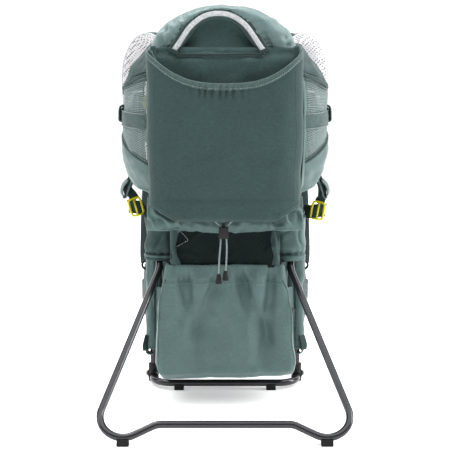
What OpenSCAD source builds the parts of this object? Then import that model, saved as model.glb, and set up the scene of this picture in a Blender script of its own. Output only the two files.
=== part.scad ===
// Framed child carrier with a fold-out kickstand.
// Floor at z = 0, wearer's side towards +Y, stand side towards -Y, X across the carrier.

/* [Overall] */
// Height of the top of the headrest above the floor
overall_h = 720; // [710:5:730]
// Width of the upper cabin across its side walls
cabin_w = 366; // [360:2:370]

/* [Tubing] */
// Outer diameter of the frame and stand tubes
tube_d = 13; // [12:0.5:13]
// Distance between the centres of the two frame uprights
upright_gap = 276; // [274:1:278]
// Height of the main frame's top bar
frame_top = 625; // [620:1:628]
// How far the base loop reaches behind the uprights
loop_depth = 60; // [56:1:62]

/* [Kickstand] */
// Height of the stand's pivot above the floor
pivot_z = 335; // [333:1:337]
// Fore-and-aft place of the stand's pivot
pivot_y = 70; // [68:1:72]
// Lean of the open stand from vertical
stand_lean = 45.9; // [45.5:0.1:46]
// Distance between the stand's legs at the pivot
stand_top_gap = 238; // [236:1:240]

/* [Fabric] */
// Thickness of the plain fabric walls
wall = 5; // [4:0.5:6]
// Width of the side buckle webbing
webbing_w = 25; // [20:1:26]
// Diameter of the shock cord
cord_d = 3; // [2.5:0.1:3]

/* [Hidden] */

$fn = 48;
tube_r = tube_d / 2;
upright_x = upright_gap / 2;
upright_y = 110;
loop_y = upright_y - loop_depth;
loop_z = 12.5;
leg_x = stand_top_gap / 2;
panel_w = 122;
cabin_y = 26;
cabin_r = 95;
cabin_x = cabin_w / 2 - cabin_r;
pocket_back = -68;
pocket_face = -112;
arch_x = -11;
lock_x = -2.5;
lock_hole = 5;
lock_y = -102;
pin_r = 4;
running_gap = 0.05;
zip_pin_r = 0.9;
swell = 0.08;
socket = 0.4;

// Route of the left tail of the shock cord, from the pocket's hem to its end piece
CORD_LEFT = [[-19, -104, 353], [-18, -103, 352], [-16, -102, 350], [-13, -102, 347], [-10, -102, 344.5],
    [-8, -102, 342], [-7.5, -102, 339], [-7.5, -102, 334], [-7.5, -102, 326], [-7.5, -102, 318],
    [-8, -102, 308], [-9, -102, 296], [-10, -102, 284], [-10.5, -102, 270], [-11, -102, 257]];
// Route of the right tail
CORD_RIGHT = [[14, -104, 353], [13, -103, 352], [11, -102, 350], [8, -102, 347], [5, -102, 344.5],
    [3, -102, 342], [2.5, -102, 339], [2.5, -102, 334], [2.5, -102, 326], [2.5, -102, 318],
    [3, -102, 308], [3, -102, 296], [2.5, -102, 284], [2, -102, 274], [1, -102, 263]];

function unit(v) = v / norm(v);
function mirrored(v, side) = [v[0] * side, v[1], v[2]];

// A round solid's axis, turned from +Z to the direction d, and moved to p
module along(p, d) {
    translate(p) rotate([0, acos(d[2] / norm(d)), atan2(d[1], d[0])]) children();
}

// A quarter-like bend: it starts at c + bend_r * u, runs along v and turns through angle a
module elbow(c, u, v, bend_r, r, a) {
    w = cross(u, v);
    multmatrix([[u[0], v[0], w[0], c[0]], [u[1], v[1], w[1], c[1]], [u[2], v[2], w[2], c[2]], [0, 0, 0, 1]])
        rotate_extrude(angle = a) translate([bend_r, 0]) circle(r);
}

// A tube through corner points, with the bend radius given at each corner. A bend is drawn a hair
// thicker than the straight runs, which end just inside it
module bent_tube(pts, bends, r) {
    n = len(pts);
    dirs = [for (i = [0 : n - 2]) unit(pts[i + 1] - pts[i])];
    turn = [for (i = [0 : n - 1]) (i == 0 || i == n - 1) ? 0 : acos(dirs[i - 1] * dirs[i])];
    cut = [for (i = [0 : n - 1]) bends[i] * tan(turn[i] / 2)];
    for (i = [0 : n - 2]) {
        a = pts[i] + dirs[i] * (cut[i] - (i == 0 ? 0 : socket));
        b = pts[i + 1] - dirs[i] * (cut[i + 1] - (i == n - 2 ? 0 : socket));
        along(a, dirs[i]) cylinder(h = norm(b - a), r = r);
    }
    for (i = [1 : n - 2]) {
        start = pts[i] - dirs[i - 1] * cut[i];
        inward = unit(dirs[i] - dirs[i - 1] * (dirs[i] * dirs[i - 1]));
        elbow(start + inward * bends[i], -inward, dirs[i - 1], bends[i], r + swell, turn[i]);
    }
}

// A solid of constant section swept along a path; the section's first axis stays near wdir
module sweep(path, section, wdir) {
    n = len(path);
    m = len(section);
    tang = [for (i = [0 : n - 1]) unit(path[min(i + 1, n - 1)] - path[max(i - 1, 0)])];
    nrm = [for (t = tang) unit(cross(t, wdir))];
    wid = [for (i = [0 : n - 1]) unit(cross(nrm[i], tang[i]))];
    pts = [for (i = [0 : n - 1]) each [for (s = section) path[i] + wid[i] * s[0] + nrm[i] * s[1]]];
    sides = [for (i = [0 : n - 2], k = [0 : m - 1]) each
        [[i * m + k, i * m + (k + 1) % m, (i + 1) * m + (k + 1) % m],
            [i * m + k, (i + 1) * m + (k + 1) % m, (i + 1) * m + k]]];
    caps = [[for (k = [0 : m - 1]) m - 1 - k], [for (k = [0 : m - 1]) (n - 1) * m + k]];
    polyhedron(pts, concat(sides, caps));
}

function flat_section(w, t) = [[-w / 2, -t / 2], [-w / 2, t / 2], [w / 2, t / 2], [w / 2, -t / 2]];
function round_section(d, m) = [for (k = [0 : m - 1]) [cos(-360 * k / m), sin(-360 * k / m)] * d / 2];

// A flat strap along a path
module strap(path, width, thick, wdir) {
    sweep(path, flat_section(width, thick), wdir);
}

// An outline in X and Z, standing between two places along Y
module upright_slab(y0, y1) {
    translate([0, y1, 0]) rotate([90, 0, 0]) linear_extrude(y1 - y0) children();
}

// An outline completed from its right half, leaving out points that repeat on the middle line
function two_sided(half) =
    concat(half, [for (i = [len(half) - 1 : -1 : 0]) if (half[i][0] > 0) [-half[i][0], half[i][1]]]);

// A box given by its two corners
module box(a, b) {
    translate(a) cube(b - a);
}

module both_sides() {
    for (side = [-1, 1]) scale([side, 1, 1]) children();
}

// ---- Frame ----

module main_frame() {
    color("dimgray") translate([0, upright_y, 0])
        bent_tube([[-upright_x, 0, 20], [-upright_x, 0, 540], [-80, 0, frame_top],
            [80, 0, frame_top], [upright_x, 0, 540], [upright_x, 0, 20]], [0, 60, 40, 40, 60, 0], tube_r);
}

module base_loop() {
    color("dimgray")
        bent_tube([[-upright_x, upright_y - 6, loop_z], [-upright_x, loop_y, loop_z],
            [upright_x, loop_y, loop_z], [upright_x, upright_y - 6, loop_z]], [0, 38, 38, 0], tube_r);
}

module corner_joint(side) {
    x = side * upright_x;
    color("black") difference() {
        union() {
            translate([x, upright_y, 0]) cylinder(h = 34, r = 10);
            along([x, upright_y - 20, loop_z], [0, 1, 0]) cylinder(h = 20, r = 9.5);
            along([x, upright_y, loop_z + 2], [side, 0, 0]) cylinder(h = 12, r = 6);
        }
        translate([x, upright_y, 20]) cylinder(h = 20, r = tube_r);
        along([x, upright_y - 21, loop_z], [0, 1, 0]) cylinder(h = 15, r = tube_r);
    }
}

module corner_bolts() {
    color("silver") for (side = [-1, 1])
        along([side * (upright_x + 12), upright_y, loop_z + 2], [side, 0, 0]) cylinder(h = 3, r = 4.5);
}

module loop_foot(side) {
    color("black") difference() {
        box([side * 87 - 9, loop_y - 8, 0], [side * 87 + 9, loop_y + 8, 11]);
        along([side * 87 - 20, loop_y, loop_z], [1, 0, 0]) cylinder(h = 40, r = tube_r);
    }
}

// Two straight bars, coped to fit between the uprights
module crossbars() {
    color("dimgray") for (z = [96, 300]) difference() {
        along([-upright_x, upright_y, z], [1, 0, 0]) cylinder(h = upright_gap, r = 5);
        for (side = [-1, 1])
            translate([side * upright_x, upright_y, z - 10]) cylinder(h = 20, r = tube_r);
    }
}

module pivot_bracket(side) {
    x = side * upright_x;
    color("black") difference() {
        union() {
            translate([x, upright_y, pivot_z - 18]) cylinder(h = 36, r = 10);
            along([side * (leg_x + 7), pivot_y, pivot_z], [side, 0, 0]) cylinder(h = 8, r = 13);
            box([min(side * (leg_x + 7), side * (leg_x + 15)), pivot_y, pivot_z - 13],
                [max(side * (leg_x + 7), side * (leg_x + 15)), upright_y, pivot_z + 13]);
        }
        translate([x, upright_y, pivot_z - 20]) cylinder(h = 40, r = tube_r);
        along([side * leg_x, pivot_y, pivot_z], [side, 0, 0]) cylinder(h = 30, r = pin_r);
    }
}

module pivot_pins() {
    color("silver") for (side = [-1, 1]) {
        along([side * (leg_x - 8), pivot_y, pivot_z], [side, 0, 0]) cylinder(h = 23, r = pin_r);
        along([side * (leg_x - 11), pivot_y, pivot_z], [side, 0, 0]) cylinder(h = 3, r = 7);
    }
}

// ---- Kickstand: drawn upright in its own plane, below its pivot, then leaned back ----

stand_half = [[leg_x, 0, 12], [leg_x, 0, -125], [leg_x + 119, 0, -503], [leg_x - 4, 0, -438]];
stand_bend = 40;

// Centre of a bend of radius r at the corner b, between a and c
function bend_centre(a, b, c, r) =
    let (u = unit(a - b), v = unit(c - b)) b + unit(u + v) * r / sin(acos(u * v) / 2);

module in_stand() {
    translate([0, pivot_y, pivot_z]) rotate([-stand_lean, 0, 0]) children();
}

module kickstand() {
    left = [for (p = stand_half) mirrored(p, -1)];
    right = [for (i = [3 : -1 : 0]) stand_half[i]];
    color("dimgray") in_stand() difference() {
        bent_tube(concat(left, right), [0, 60, stand_bend, 30, 30, stand_bend, 60, 0], tube_r);
        for (side = [-1, 1])
            along([side * (leg_x - 10), 0, 0], [side, 0, 0]) cylinder(h = 20, r = pin_r + running_gap);
    }
}

module stand_foot(side) {
    c = bend_centre(stand_half[1], stand_half[2], stand_half[3], stand_bend);
    reach = stand_bend - c[2];
    low_y = pivot_y - reach * sin(stand_lean);
    color("black") difference() {
        box([side * c[0] - 10, low_y - 9, 0], [side * c[0] + 10, low_y + 9, 12]);
        in_stand() translate([side * c[0], 0, c[2]]) rotate([90, 0, 0])
            rotate_extrude() translate([stand_bend, 0]) circle(tube_r + swell);
    }
}

// ---- Lower bag and its zip ----

module lower_bag() {
    half = [[117, 57], [125, 80], [117, 185], [110, 215], [109, 250]];
    color("cadetblue") intersection() {
        upright_slab(-60, 95) polygon(two_sided(half));
        rotate([90, 0, 90]) translate([0, 0, -150]) linear_extrude(300)
            polygon([[-52, 57], [88, 57], [95, 70], [95, 250], [-40, 250], [-60, 190], [-60, 70]]);
    }
}

zip_y = -30;
function zip_point(z, out) = [125 - 8 * (z - 80) / 105 + out * 0.997, zip_y, z + out * 0.076];

module zip_track() {
    color("darkslategray") strap([zip_point(84, 0.95), zip_point(182, 0.95)], 8, 1.5, [0, 1, 0]);
}

zip_hinge = zip_point(174, 7.2);

// The slider carries the pull's pin between two ears
module zip_slider() {
    color("gray") {
        strap([zip_point(168, 3.5), zip_point(180, 3.5)], 8, 3, [0, 1, 0]);
        for (y = [-4, 2.6])
            translate(zip_hinge + [-3, y, -1.5]) cube([4.5, 1.4, 3]);
        along(zip_hinge - [0, 4, 0], [0, 1, 0]) cylinder(h = 8, r = zip_pin_r);
    }
}

module zip_pull() {
    color("gray") difference() {
        union() {
            along(zip_hinge - [0, 2.4, 0], [0, 1, 0]) cylinder(h = 4.8, r = 2);
            translate(zip_hinge + [-0.8, -2.4, -26]) cube([1.6, 4.8, 25]);
        }
        along(zip_hinge - [0, 4, 0], [0, 1, 0]) cylinder(h = 8, r = zip_pin_r + running_gap);
    }
}

// ---- Rear of the cabin ----

module mesh_panel() {
    color("darkslategray") box([-91, -52, 252], [91, -48, 322.5]);
}

module band_panel() {
    color("cadetblue") box([-91, -57, 323.5], [91, -51, 344]);
}

module leg_sleeve(side) {
    color("cadetblue") scale([side, 1, 1]) difference() {
        box([94, -22, 264], [142, 98, 338]);
        box([98, -18, 263], [138, 99, 359]);
    }
}

// Outline of the big rear pocket, drawn from its middle line to its side
pocket_half = [[0, 354], [60, 355], [93, 357], [131, 378], [135, 492], [133, 648],
    [124, 628], [100, 608], [60, 594], [0, 588]];

module rear_pocket() {
    color("darkslategray") difference() {
        upright_slab(pocket_face, pocket_back) polygon(two_sided(pocket_half));
        box([-126, pocket_face + wall, 380], [126, pocket_back + 1, 700]);
        box([-100, pocket_face + wall, 362], [100, pocket_back + 1, 400]);
    }
}

module pocket_binding() {
    path = [for (t = [-1 : 0.2 : 1]) [t * 126, pocket_face - 1.2, 589 + 46 * pow(abs(t), 2.6)]];
    color("cadetblue") strap(path, 2, 9, [0, 1, 0]);
}

module rear_panel() {
    color("darkslategray")
        upright_slab(-66, -59) polygon([[-panel_w, 348], [panel_w, 348], [panel_w, 638], [-panel_w, 638]]);
}

dome_half = [[0, overall_h], [34, overall_h - 3], [63, overall_h - 12], [88, 694], [107, 680],
    [120, 664], [124, 640]];

// The arch on the headrest's face, grown by k all around but cut off level at its feet
module arch(k) {
    half = [[81, 640], [70, 655], [60, 670], [49, 685], [34, 698], [18, 705.5], [0, 708]];
    intersection() {
        translate([arch_x, 0]) offset(delta = k) polygon(two_sided(half));
        translate([-130, 640]) square([260, 80]);
    }
}

module headrest() {
    color("cadetblue") difference() {
        intersection() {
            upright_slab(-54, 5) polygon(two_sided(dome_half));
            rotate([90, 0, 90]) translate([0, 0, -150]) linear_extrude(300)
                polygon([[-54, 640], [5, 640], [5, 690], [-8, overall_h], [-30, overall_h], [-54, 700]]);
        }
        upright_slab(-55, -24) arch(-4.5);
    }
}

module arch_tape() {
    color("lightgray") upright_slab(-57.5, -55) difference() {
        arch(3.5);
        arch(-3.5);
    }
}

// ---- Sides of the cabin: sectors of rings about an upright axis ----

module side_ring(side, profile) {
    scale([side, 1, 1]) translate([cabin_x, cabin_y, 0]) rotate([0, 0, -60])
        rotate_extrude(angle = 108) polygon(profile);
}

module side_wing(side) {
    r = cabin_r;
    color("cadetblue") side_ring(side, [[r - 20, 402], [r - 5, 424], [r, 450], [r, 459], [r - wall, 459],
        [r - wall, 450], [r - 10, 426], [r - 25, 402]]);
}

module side_window(side) {
    r = cabin_r;
    color("gray") side_ring(side, [[r - 1, 459.5], [r - 1, 572.5], [r - 4, 572.5], [r - 4, 459.5]]);
}

module side_shoulder(side) {
    r = cabin_r;
    color("darkslategray")
        side_ring(side, [[r, 573], [r, 580], [46, 639], [46, 633], [r - wall, 577], [r - wall, 573]]);
}

module window_bands() {
    r = cabin_r;
    color("darkslategray") for (side = [-1, 1]) {
        side_ring(side, [[r - 0.7, 518], [r + 1.5, 518], [r + 1.5, 536], [r - 0.7, 536]]);
        x = side * (cabin_x + r);
        box([min(x + side * 2, x + side * 9), 14, 514], [max(x + side * 2, x + side * 9), 32, 540]);
    }
}

module front_panel() {
    color("darkslategray") upright_slab(92, 98)
        polygon(two_sided([[91, 300], [91, 356], [125, 356], [125, 478]]));
}

module front_pad() {
    color("cadetblue") upright_slab(82, 100)
        polygon(two_sided([[126, 479], [130, 560], [112, 602]]));
}

// ---- Child's seat and harness ----

module child_seat() {
    color("darkslategray") intersection() {
        box([-85, -40, 345], [85, 72, 367]);
        rotate([90, 0, 90]) translate([0, 0, -90]) linear_extrude(180)
            polygon([[-40, 352], [-30, 345], [60, 345], [72, 352], [72, 367], [-40, 367]]);
    }
}

module child_harness() {
    color("black") for (side = [-1, 1]) {
        strap([[side * 34, -55, 596], [side * 38, -50, 570], [side * 42, -46, 530], [side * 40, -44, 470],
            [side * 28, -44, 440], [side * 18, -44, 424]], 32, 7, [1, 0, 0]);
    }
}

module harness_buckle() {
    color("black") box([-16, -52, 396], [16, -40, 420]);
}

// ---- Side release straps ----

module side_straps() {
    color("darkslategray") both_sides() {
        strap([[151, 101, 334], [153, 92, 336], [157, 82, 339]], webbing_w, 2, [0, 0.1, 1]);
        strap([[177, 63, 364], [178, 61, 374], [177, 58, 388], [172, 56, 400]], 18, 2, [0, 1, 0]);
    }
}

// The left strap is drawn in further than the right one, so its buckle sits higher and nearer
module side_buckle(side) {
    place = side < 0 ? [166, 68, 348] : [173, 68, 341];
    color("gold") scale([side, 1, 1]) translate(place) rotate([0, 14, -35]) difference() {
        cube([22, 5, 30], center = true);
        translate([-4.2, 0, 0]) cube([5, 6, 23], center = true);
        translate([4.2, 0, 0]) cube([5, 6, 23], center = true);
    }
}

module side_strap_locks() {
    color("black") both_sides() {
        translate([184.5, 60, 380]) rotate([0, 10, 0]) cube([6, 16, 22], center = true);
        difference() {
            along([151, upright_y + 8, 226], [0, 1, 0]) cylinder(h = 5, r = 10);
            along([151, upright_y + 7, 226], [0, 1, 0]) cylinder(h = 7, r = 5.5);
        }
    }
}

// ---- Wearer's side ----

module back_panel() {
    color("darkslategray") upright_slab(124, 140)
        polygon(two_sided([[118, 56], [128, 90], [128, 420], [104, 570]]));
}

module lumbar_pad() {
    color("dimgray") box([-106, 141, 90], [106, 158, 214]);
}

// Four overlapping sectors of a ring, each a little lower and narrower than the one behind it
module hip_wing(side) {
    color("darkslategray") scale([side, 1, 1]) translate([8, 252, 0]) for (i = [0 : 3]) {
        low = 55 + 13 * i;
        high = 232 - 8 * i;
        rotate([0, 0, -42 + 10 * i]) rotate_extrude(angle = 11)
            polygon([[143, low + 8], [146, low], [154, low], [157, low + 8], [157, high - 8], [154, high],
                [146, high], [143, high - 8]]);
    }
}

module hip_webbing() {
    color("darkslategray") both_sides()
        strap([[157, 256, 150], [153, 262, 150], [144, 266, 150], [120, 268, 150], [34, 269, 150]],
            38, 2, [0, 0, 1]);
}

module hip_buckle() {
    color("black") {
        box([-33, 262, 126], [-1, 274, 174]);
        box([-0.5, 263, 128], [33, 273, 172]);
    }
}

module shoulder_yoke() {
    color("darkslategray") box([-62, 141, 520], [62, 149, 566]);
}

module shoulder_strap(side) {
    route = [[46, 152, 572], [54, 154, 604], [76, 167, 638], [108, 192, 653], [142, 213, 642],
        [165, 226, 608], [171, 231, 562], [168, 230, 500], [159, 226, 440], [148, 218, 384]];
    color("lightgray") strap([for (p = route) mirrored(p, side)], 58, 12, [1, 0, 0]);
}

module strap_webbing() {
    color("black") both_sides() {
        strap([[148, 216, 382], [150, 204, 340], [152, 184, 290], [152, 158, 244]], webbing_w, 2, [1, 0, 0]);
        strap([[104, 187, 662], [94, 160, 661], [80, 130, 650]], 18, 2, [1, 0, 0]);
    }
}

module chest_strap() {
    color("black")
        strap([[-176, 239, 470], [-120, 240, 470], [0, 242, 470], [120, 240, 470], [176, 239, 470]],
            20, 2, [0, 0, 1]);
}

module chest_buckle() {
    color("black") box([-24, 243.4, 456], [24, 253, 484]);
}

// ---- Shock cord, its lock and its end pieces ----

module cord(route) {
    color("lightsteelblue") sweep(route, round_section(cord_d, 8), [0, 1, 0]);
}

module cord_lock() {
    color("black") difference() {
        box([lock_x - 8.5, lock_y - 6, 321], [lock_x + 8.5, lock_y + 6, 341]);
        for (dx = [-lock_hole, lock_hole])
            translate([lock_x + dx, lock_y, 320]) cylinder(h = 22, r = cord_d / 2 + 0.2);
        translate([lock_x, lock_y, 331]) cylinder(h = 11, r = 2.8 + running_gap);
    }
}

// The lock's push button: its stem runs in the lock's blind bore
module cord_button() {
    color("black") translate([lock_x, lock_y, 0]) {
        translate([0, 0, 334.5]) cylinder(h = 10, r = 2.8);
        translate([0, 0, 344.5]) cylinder(h = 2.5, r = 3.4);
    }
}

// The two end pieces, each a tapered plug that a tail goes into
module cord_details() {
    color("black") for (p = [[-11, 257], [1, 263]])
        translate([p[0], lock_y, p[1] - 17]) cylinder(h = 17, r1 = 6, r2 = 3.2);
}

main_frame();
base_loop();
corner_joint(-1);  // corner_joint_left
corner_joint(1);  // corner_joint_right
corner_bolts();
loop_foot(-1);  // loop_foot_left
loop_foot(1);  // loop_foot_right
crossbars();
pivot_bracket(-1);  // pivot_bracket_left
pivot_bracket(1);  // pivot_bracket_right
pivot_pins();
kickstand();
stand_foot(-1);  // stand_foot_left
stand_foot(1);  // stand_foot_right
lower_bag();
zip_track();
zip_slider();
zip_pull();
mesh_panel();
band_panel();
leg_sleeve(-1);  // leg_sleeve_left
leg_sleeve(1);  // leg_sleeve_right
rear_pocket();
pocket_binding();
rear_panel();
headrest();
arch_tape();
side_wing(-1);  // side_wing_left
side_wing(1);  // side_wing_right
side_window(-1);  // side_window_left
side_window(1);  // side_window_right
side_shoulder(-1);  // side_shoulder_left
side_shoulder(1);  // side_shoulder_right
window_bands();
front_panel();
front_pad();
child_seat();
child_harness();
harness_buckle();
side_straps();
side_buckle(-1);  // side_buckle_left
side_buckle(1);  // side_buckle_right
side_strap_locks();
back_panel();
lumbar_pad();
hip_wing(-1);  // hip_wing_left
hip_wing(1);  // hip_wing_right
hip_webbing();
hip_buckle();
shoulder_yoke();
shoulder_strap(-1);  // shoulder_strap_left
shoulder_strap(1);  // shoulder_strap_right
strap_webbing();
chest_strap();
chest_buckle();
cord(CORD_LEFT);  // cord_left
cord(CORD_RIGHT);  // cord_right
cord_lock();
cord_button();
cord_details();
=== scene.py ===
import math

import bmesh
import bpy
import numpy as np
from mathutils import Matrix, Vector


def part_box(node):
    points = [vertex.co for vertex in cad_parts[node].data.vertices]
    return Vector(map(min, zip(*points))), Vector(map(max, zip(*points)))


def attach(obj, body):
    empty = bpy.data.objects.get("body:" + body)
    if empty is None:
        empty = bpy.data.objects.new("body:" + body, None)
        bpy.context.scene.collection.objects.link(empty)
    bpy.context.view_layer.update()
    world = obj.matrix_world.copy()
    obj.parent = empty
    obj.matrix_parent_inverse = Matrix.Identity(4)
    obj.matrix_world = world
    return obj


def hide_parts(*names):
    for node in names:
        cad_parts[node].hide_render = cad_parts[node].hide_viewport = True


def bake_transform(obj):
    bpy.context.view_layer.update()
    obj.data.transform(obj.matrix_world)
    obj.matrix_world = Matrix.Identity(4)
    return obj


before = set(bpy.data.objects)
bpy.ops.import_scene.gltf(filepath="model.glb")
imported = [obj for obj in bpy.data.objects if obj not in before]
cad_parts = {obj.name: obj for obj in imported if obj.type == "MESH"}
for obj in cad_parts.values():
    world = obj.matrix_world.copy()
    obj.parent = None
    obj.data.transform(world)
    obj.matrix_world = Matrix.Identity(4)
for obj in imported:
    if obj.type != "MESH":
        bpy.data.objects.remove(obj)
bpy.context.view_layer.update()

# All shapes below are worked out in millimetres and turned into metres when a mesh is made.
MM = 0.001
SIDES = ((-1, "left"), (1, "right"))


def box(node):
    lo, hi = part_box(node)
    return np.array(lo) / MM, np.array(hi) / MM


def smoothstep(x):
    x = np.clip(x, 0.0, 1.0)
    return x * x * (3 - 2 * x)


def unit(v):
    return v / np.maximum(np.linalg.norm(v, axis=-1, keepdims=True), 1e-9)


def swell(v, margin):
    """A half sine wave as v goes from 0 to 1, kept off zero by the margin at both ends."""
    return np.sin(math.pi * np.clip(v, margin, 1 - margin))


def rumple(p, scale, seed, waves=12):
    """Smooth seeded noise of about unit height, whose bumps are about scale apart."""
    rng = np.random.default_rng(seed)
    result = 0.0
    for _ in range(waves):
        direction = rng.normal(size=3)
        direction /= np.linalg.norm(direction)
        pace = 2 * math.pi / (scale * rng.uniform(0.7, 1.7))
        result = result + np.sin(p @ direction * pace + rng.uniform(0, 2 * math.pi))
    return result / math.sqrt(waves / 2)


def creases(p, scale, seed):
    """Cloth folds: mostly flat, with soft ridges here and there."""
    return np.exp(-((rumple(p, scale, seed) / 0.35) ** 2))


# ---- Materials ----

def new_material(name):
    m = bpy.data.materials.new(name)
    m.use_nodes = True
    tree = m.node_tree
    return m, tree, tree.nodes["Principled BSDF"], add_node(tree, "ShaderNodeTexCoord").outputs["Object"]


def fill(tree, node, **values):
    """Gives a node its settings and inputs by name; a socket as the value is linked to the input."""
    for key, value in values.items():
        if hasattr(node, key):
            setattr(node, key, value)
            continue
        socket = node.inputs[key.replace("_", " ")]
        if isinstance(value, bpy.types.NodeSocket):
            tree.links.new(value, socket)
        else:
            socket.default_value = value
    return node


def add_node(tree, kind, **values):
    return fill(tree, tree.nodes.new(kind), **values)


def maths(tree, operation, a, b):
    n = add_node(tree, "ShaderNodeMath", operation=operation)
    for socket, value in zip(n.inputs, (a, b)):
        if isinstance(value, (int, float)):
            socket.default_value = value
        else:
            tree.links.new(value, socket)
    return n.outputs[0]


def total(tree, *terms, plus=None):
    """The sum of (socket, weight) terms and of one more number or socket."""
    parts = [maths(tree, "MULTIPLY", value, weight) for value, weight in terms]
    if plus is not None:
        parts.append(plus)
    result = parts[0]
    for part in parts[1:]:
        result = maths(tree, "ADD", result, part)
    return result


def noise(tree, where, scale, detail=3.0, stretch=(1, 1, 1)):
    place = add_node(tree, "ShaderNodeMapping", Scale=stretch, Vector=where).outputs[0]
    return add_node(tree, "ShaderNodeTexNoise", Scale=scale, Detail=detail, Vector=place).outputs["Fac"]


def grid_waves(tree, where, pitch, turn):
    """A sum of three sine waves, one for each axis: dots or threads that suit a surface of any slope."""
    k = 2 * math.pi / (pitch * MM)
    place = add_node(tree, "ShaderNodeMapping", Scale=(k, k, k), Rotation=(turn, turn, turn), Vector=where)
    sine = add_node(tree, "ShaderNodeVectorMath", operation="SINE", Vector=place.outputs[0])
    dot = add_node(tree, "ShaderNodeVectorMath", operation="DOT_PRODUCT", Vector=sine.outputs[0])
    dot.inputs[1].default_value = (1, 1, 1)
    return maths(tree, "MULTIPLY", dot.outputs["Value"], 0.3333)


def ramp(tree, value, low, high, at):
    n = add_node(tree, "ShaderNodeValToRGB")
    for element, place, colour in zip(n.color_ramp.elements, at, (low, high)):
        element.position = place
        element.color = (*colour, 1)
    tree.links.new(value, n.inputs[0])
    return n.outputs[0]


def shades(tree, value, colour, low, high, at=(0.3, 0.7)):
    """The colour made low to high times as bright, as the value goes over the range at."""
    return ramp(tree, value, *(tuple(min(1.0, c * k) for c in colour) for k in (low, high)), at)


def bump(tree, shader, heights):
    """Stacks (height, strength, distance in mm) bumps onto the shader's normal."""
    last = {}
    for height, strength, distance in heights:
        n = add_node(tree, "ShaderNodeBump", Strength=strength, Distance=distance * MM, Height=height, **last)
        last = {"Normal": n.outputs[0]}
    fill(tree, shader, **last)


def fabric(name, colour, rough=0.78, sheen=0.25, slub=0.16, weave=0.35, soft=0.5):
    """Woven cloth: weft and warp yarns, mottled dye, broad tone changes and small soft rumples."""
    m, tree, shader, where = new_material(name)
    weft = noise(tree, where, 1500, 2.0, (0.1, 0.1, 1.0))
    warp = noise(tree, where, 1500, 2.0, (1.0, 1.0, 0.1))
    mottle = noise(tree, where, 260)
    tone = noise(tree, where, 11)
    mixed = total(tree, (weft, 0.38), (warp, 0.22), (mottle, 0.22), (tone, 0.18))
    fill(tree, shader, Sheen_Weight=sheen, Sheen_Roughness=0.5, Specular_IOR_Level=0.3,
         Base_Color=shades(tree, mixed, colour, 1 - 2.2 * slub, 1 + 2.2 * slub, (0.36, 0.64)),
         Roughness=total(tree, (mottle, 0.12), plus=rough - 0.06))
    bump(tree, shader, [(noise(tree, where, 60, 2.0), soft, 1.0), (weft, weave, 0.12), (warp, weave, 0.12)])
    return m


def dotted_mesh(name, colour, hole, pitch, edge, sheen=0.15):
    """Knitted spacer mesh with rows of small holes."""
    m, tree, shader, where = new_material(name)
    level = total(tree, (grid_waves(tree, where, pitch, 0.6), 0.5), plus=0.5)
    mask = ramp(tree, level, hole, colour, (edge - 0.09, edge + 0.05))
    shade = shades(tree, noise(tree, where, 30, 2.0), (1, 1, 1), 0.86, 1)
    mix = add_node(tree, "ShaderNodeMix", data_type="RGBA", blend_type="MULTIPLY", Factor=1.0, A=mask,
                   B=shade)
    fill(tree, shader, Base_Color=mix.outputs["Result"], Roughness=0.85, Sheen_Weight=sheen,
         Specular_IOR_Level=0.2)
    bump(tree, shader, [(level, 0.7, 0.5), (noise(tree, where, 700, 1.0), 0.3, 0.1)])
    return m


def ribbed(name, colour, pitch=1.6, rough=0.6):
    """Webbing or tape: fine diagonal ribs with a slight sheen."""
    m, tree, shader, where = new_material(name)
    ribs = grid_waves(tree, where, pitch, 0.5)
    tone = noise(tree, where, 300, 2.0)
    mixed = total(tree, (ribs, 0.35), plus=tone)
    fill(tree, shader, Base_Color=shades(tree, mixed, colour, 0.68, 1.3, (0.25, 0.75)), Roughness=rough,
         Sheen_Weight=0.06, Specular_IOR_Level=0.25)
    bump(tree, shader, [(ribs, 0.5, 0.25), (tone, 0.3, 0.1)])
    return m


def moulded(name, colour, rough=0.45, grain=0.25, coat=0.0):
    """Moulded plastic or rubber with a fine spark-eroded grain."""
    m, tree, shader, where = new_material(name)
    tone = noise(tree, where, 40)
    fill(tree, shader, Base_Color=shades(tree, tone, colour, 0.85, 1.15), Coat_Weight=coat,
         Roughness=total(tree, (tone, 0.2), plus=rough - 0.1), Specular_IOR_Level=0.25)
    bump(tree, shader, [(noise(tree, where, 1400, 2.0), grain, 0.06), (tone, 0.1, 0.3)])
    return m


def anodised(name, colour, rough=0.3, metallic=0.5):
    """Drawn tube: fine marks, slightly uneven sheen and faint scuffs."""
    m, tree, shader, where = new_material(name)
    tone = noise(tree, where, 18, 4.0)
    scuff = noise(tree, where, 130, 6.0)
    mixed = total(tree, (tone, 0.7), (scuff, 0.3))
    fill(tree, shader, Base_Color=shades(tree, mixed, colour, 0.9, 1.12), Metallic=metallic, Coat_Weight=0.25,
         Roughness=total(tree, (scuff, 0.1), plus=rough - 0.05), Coat_Roughness=0.12)
    bump(tree, shader, [(noise(tree, where, 900, 2.0, (1, 1, 0.25)), 0.08, 0.05)])
    return m


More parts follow.
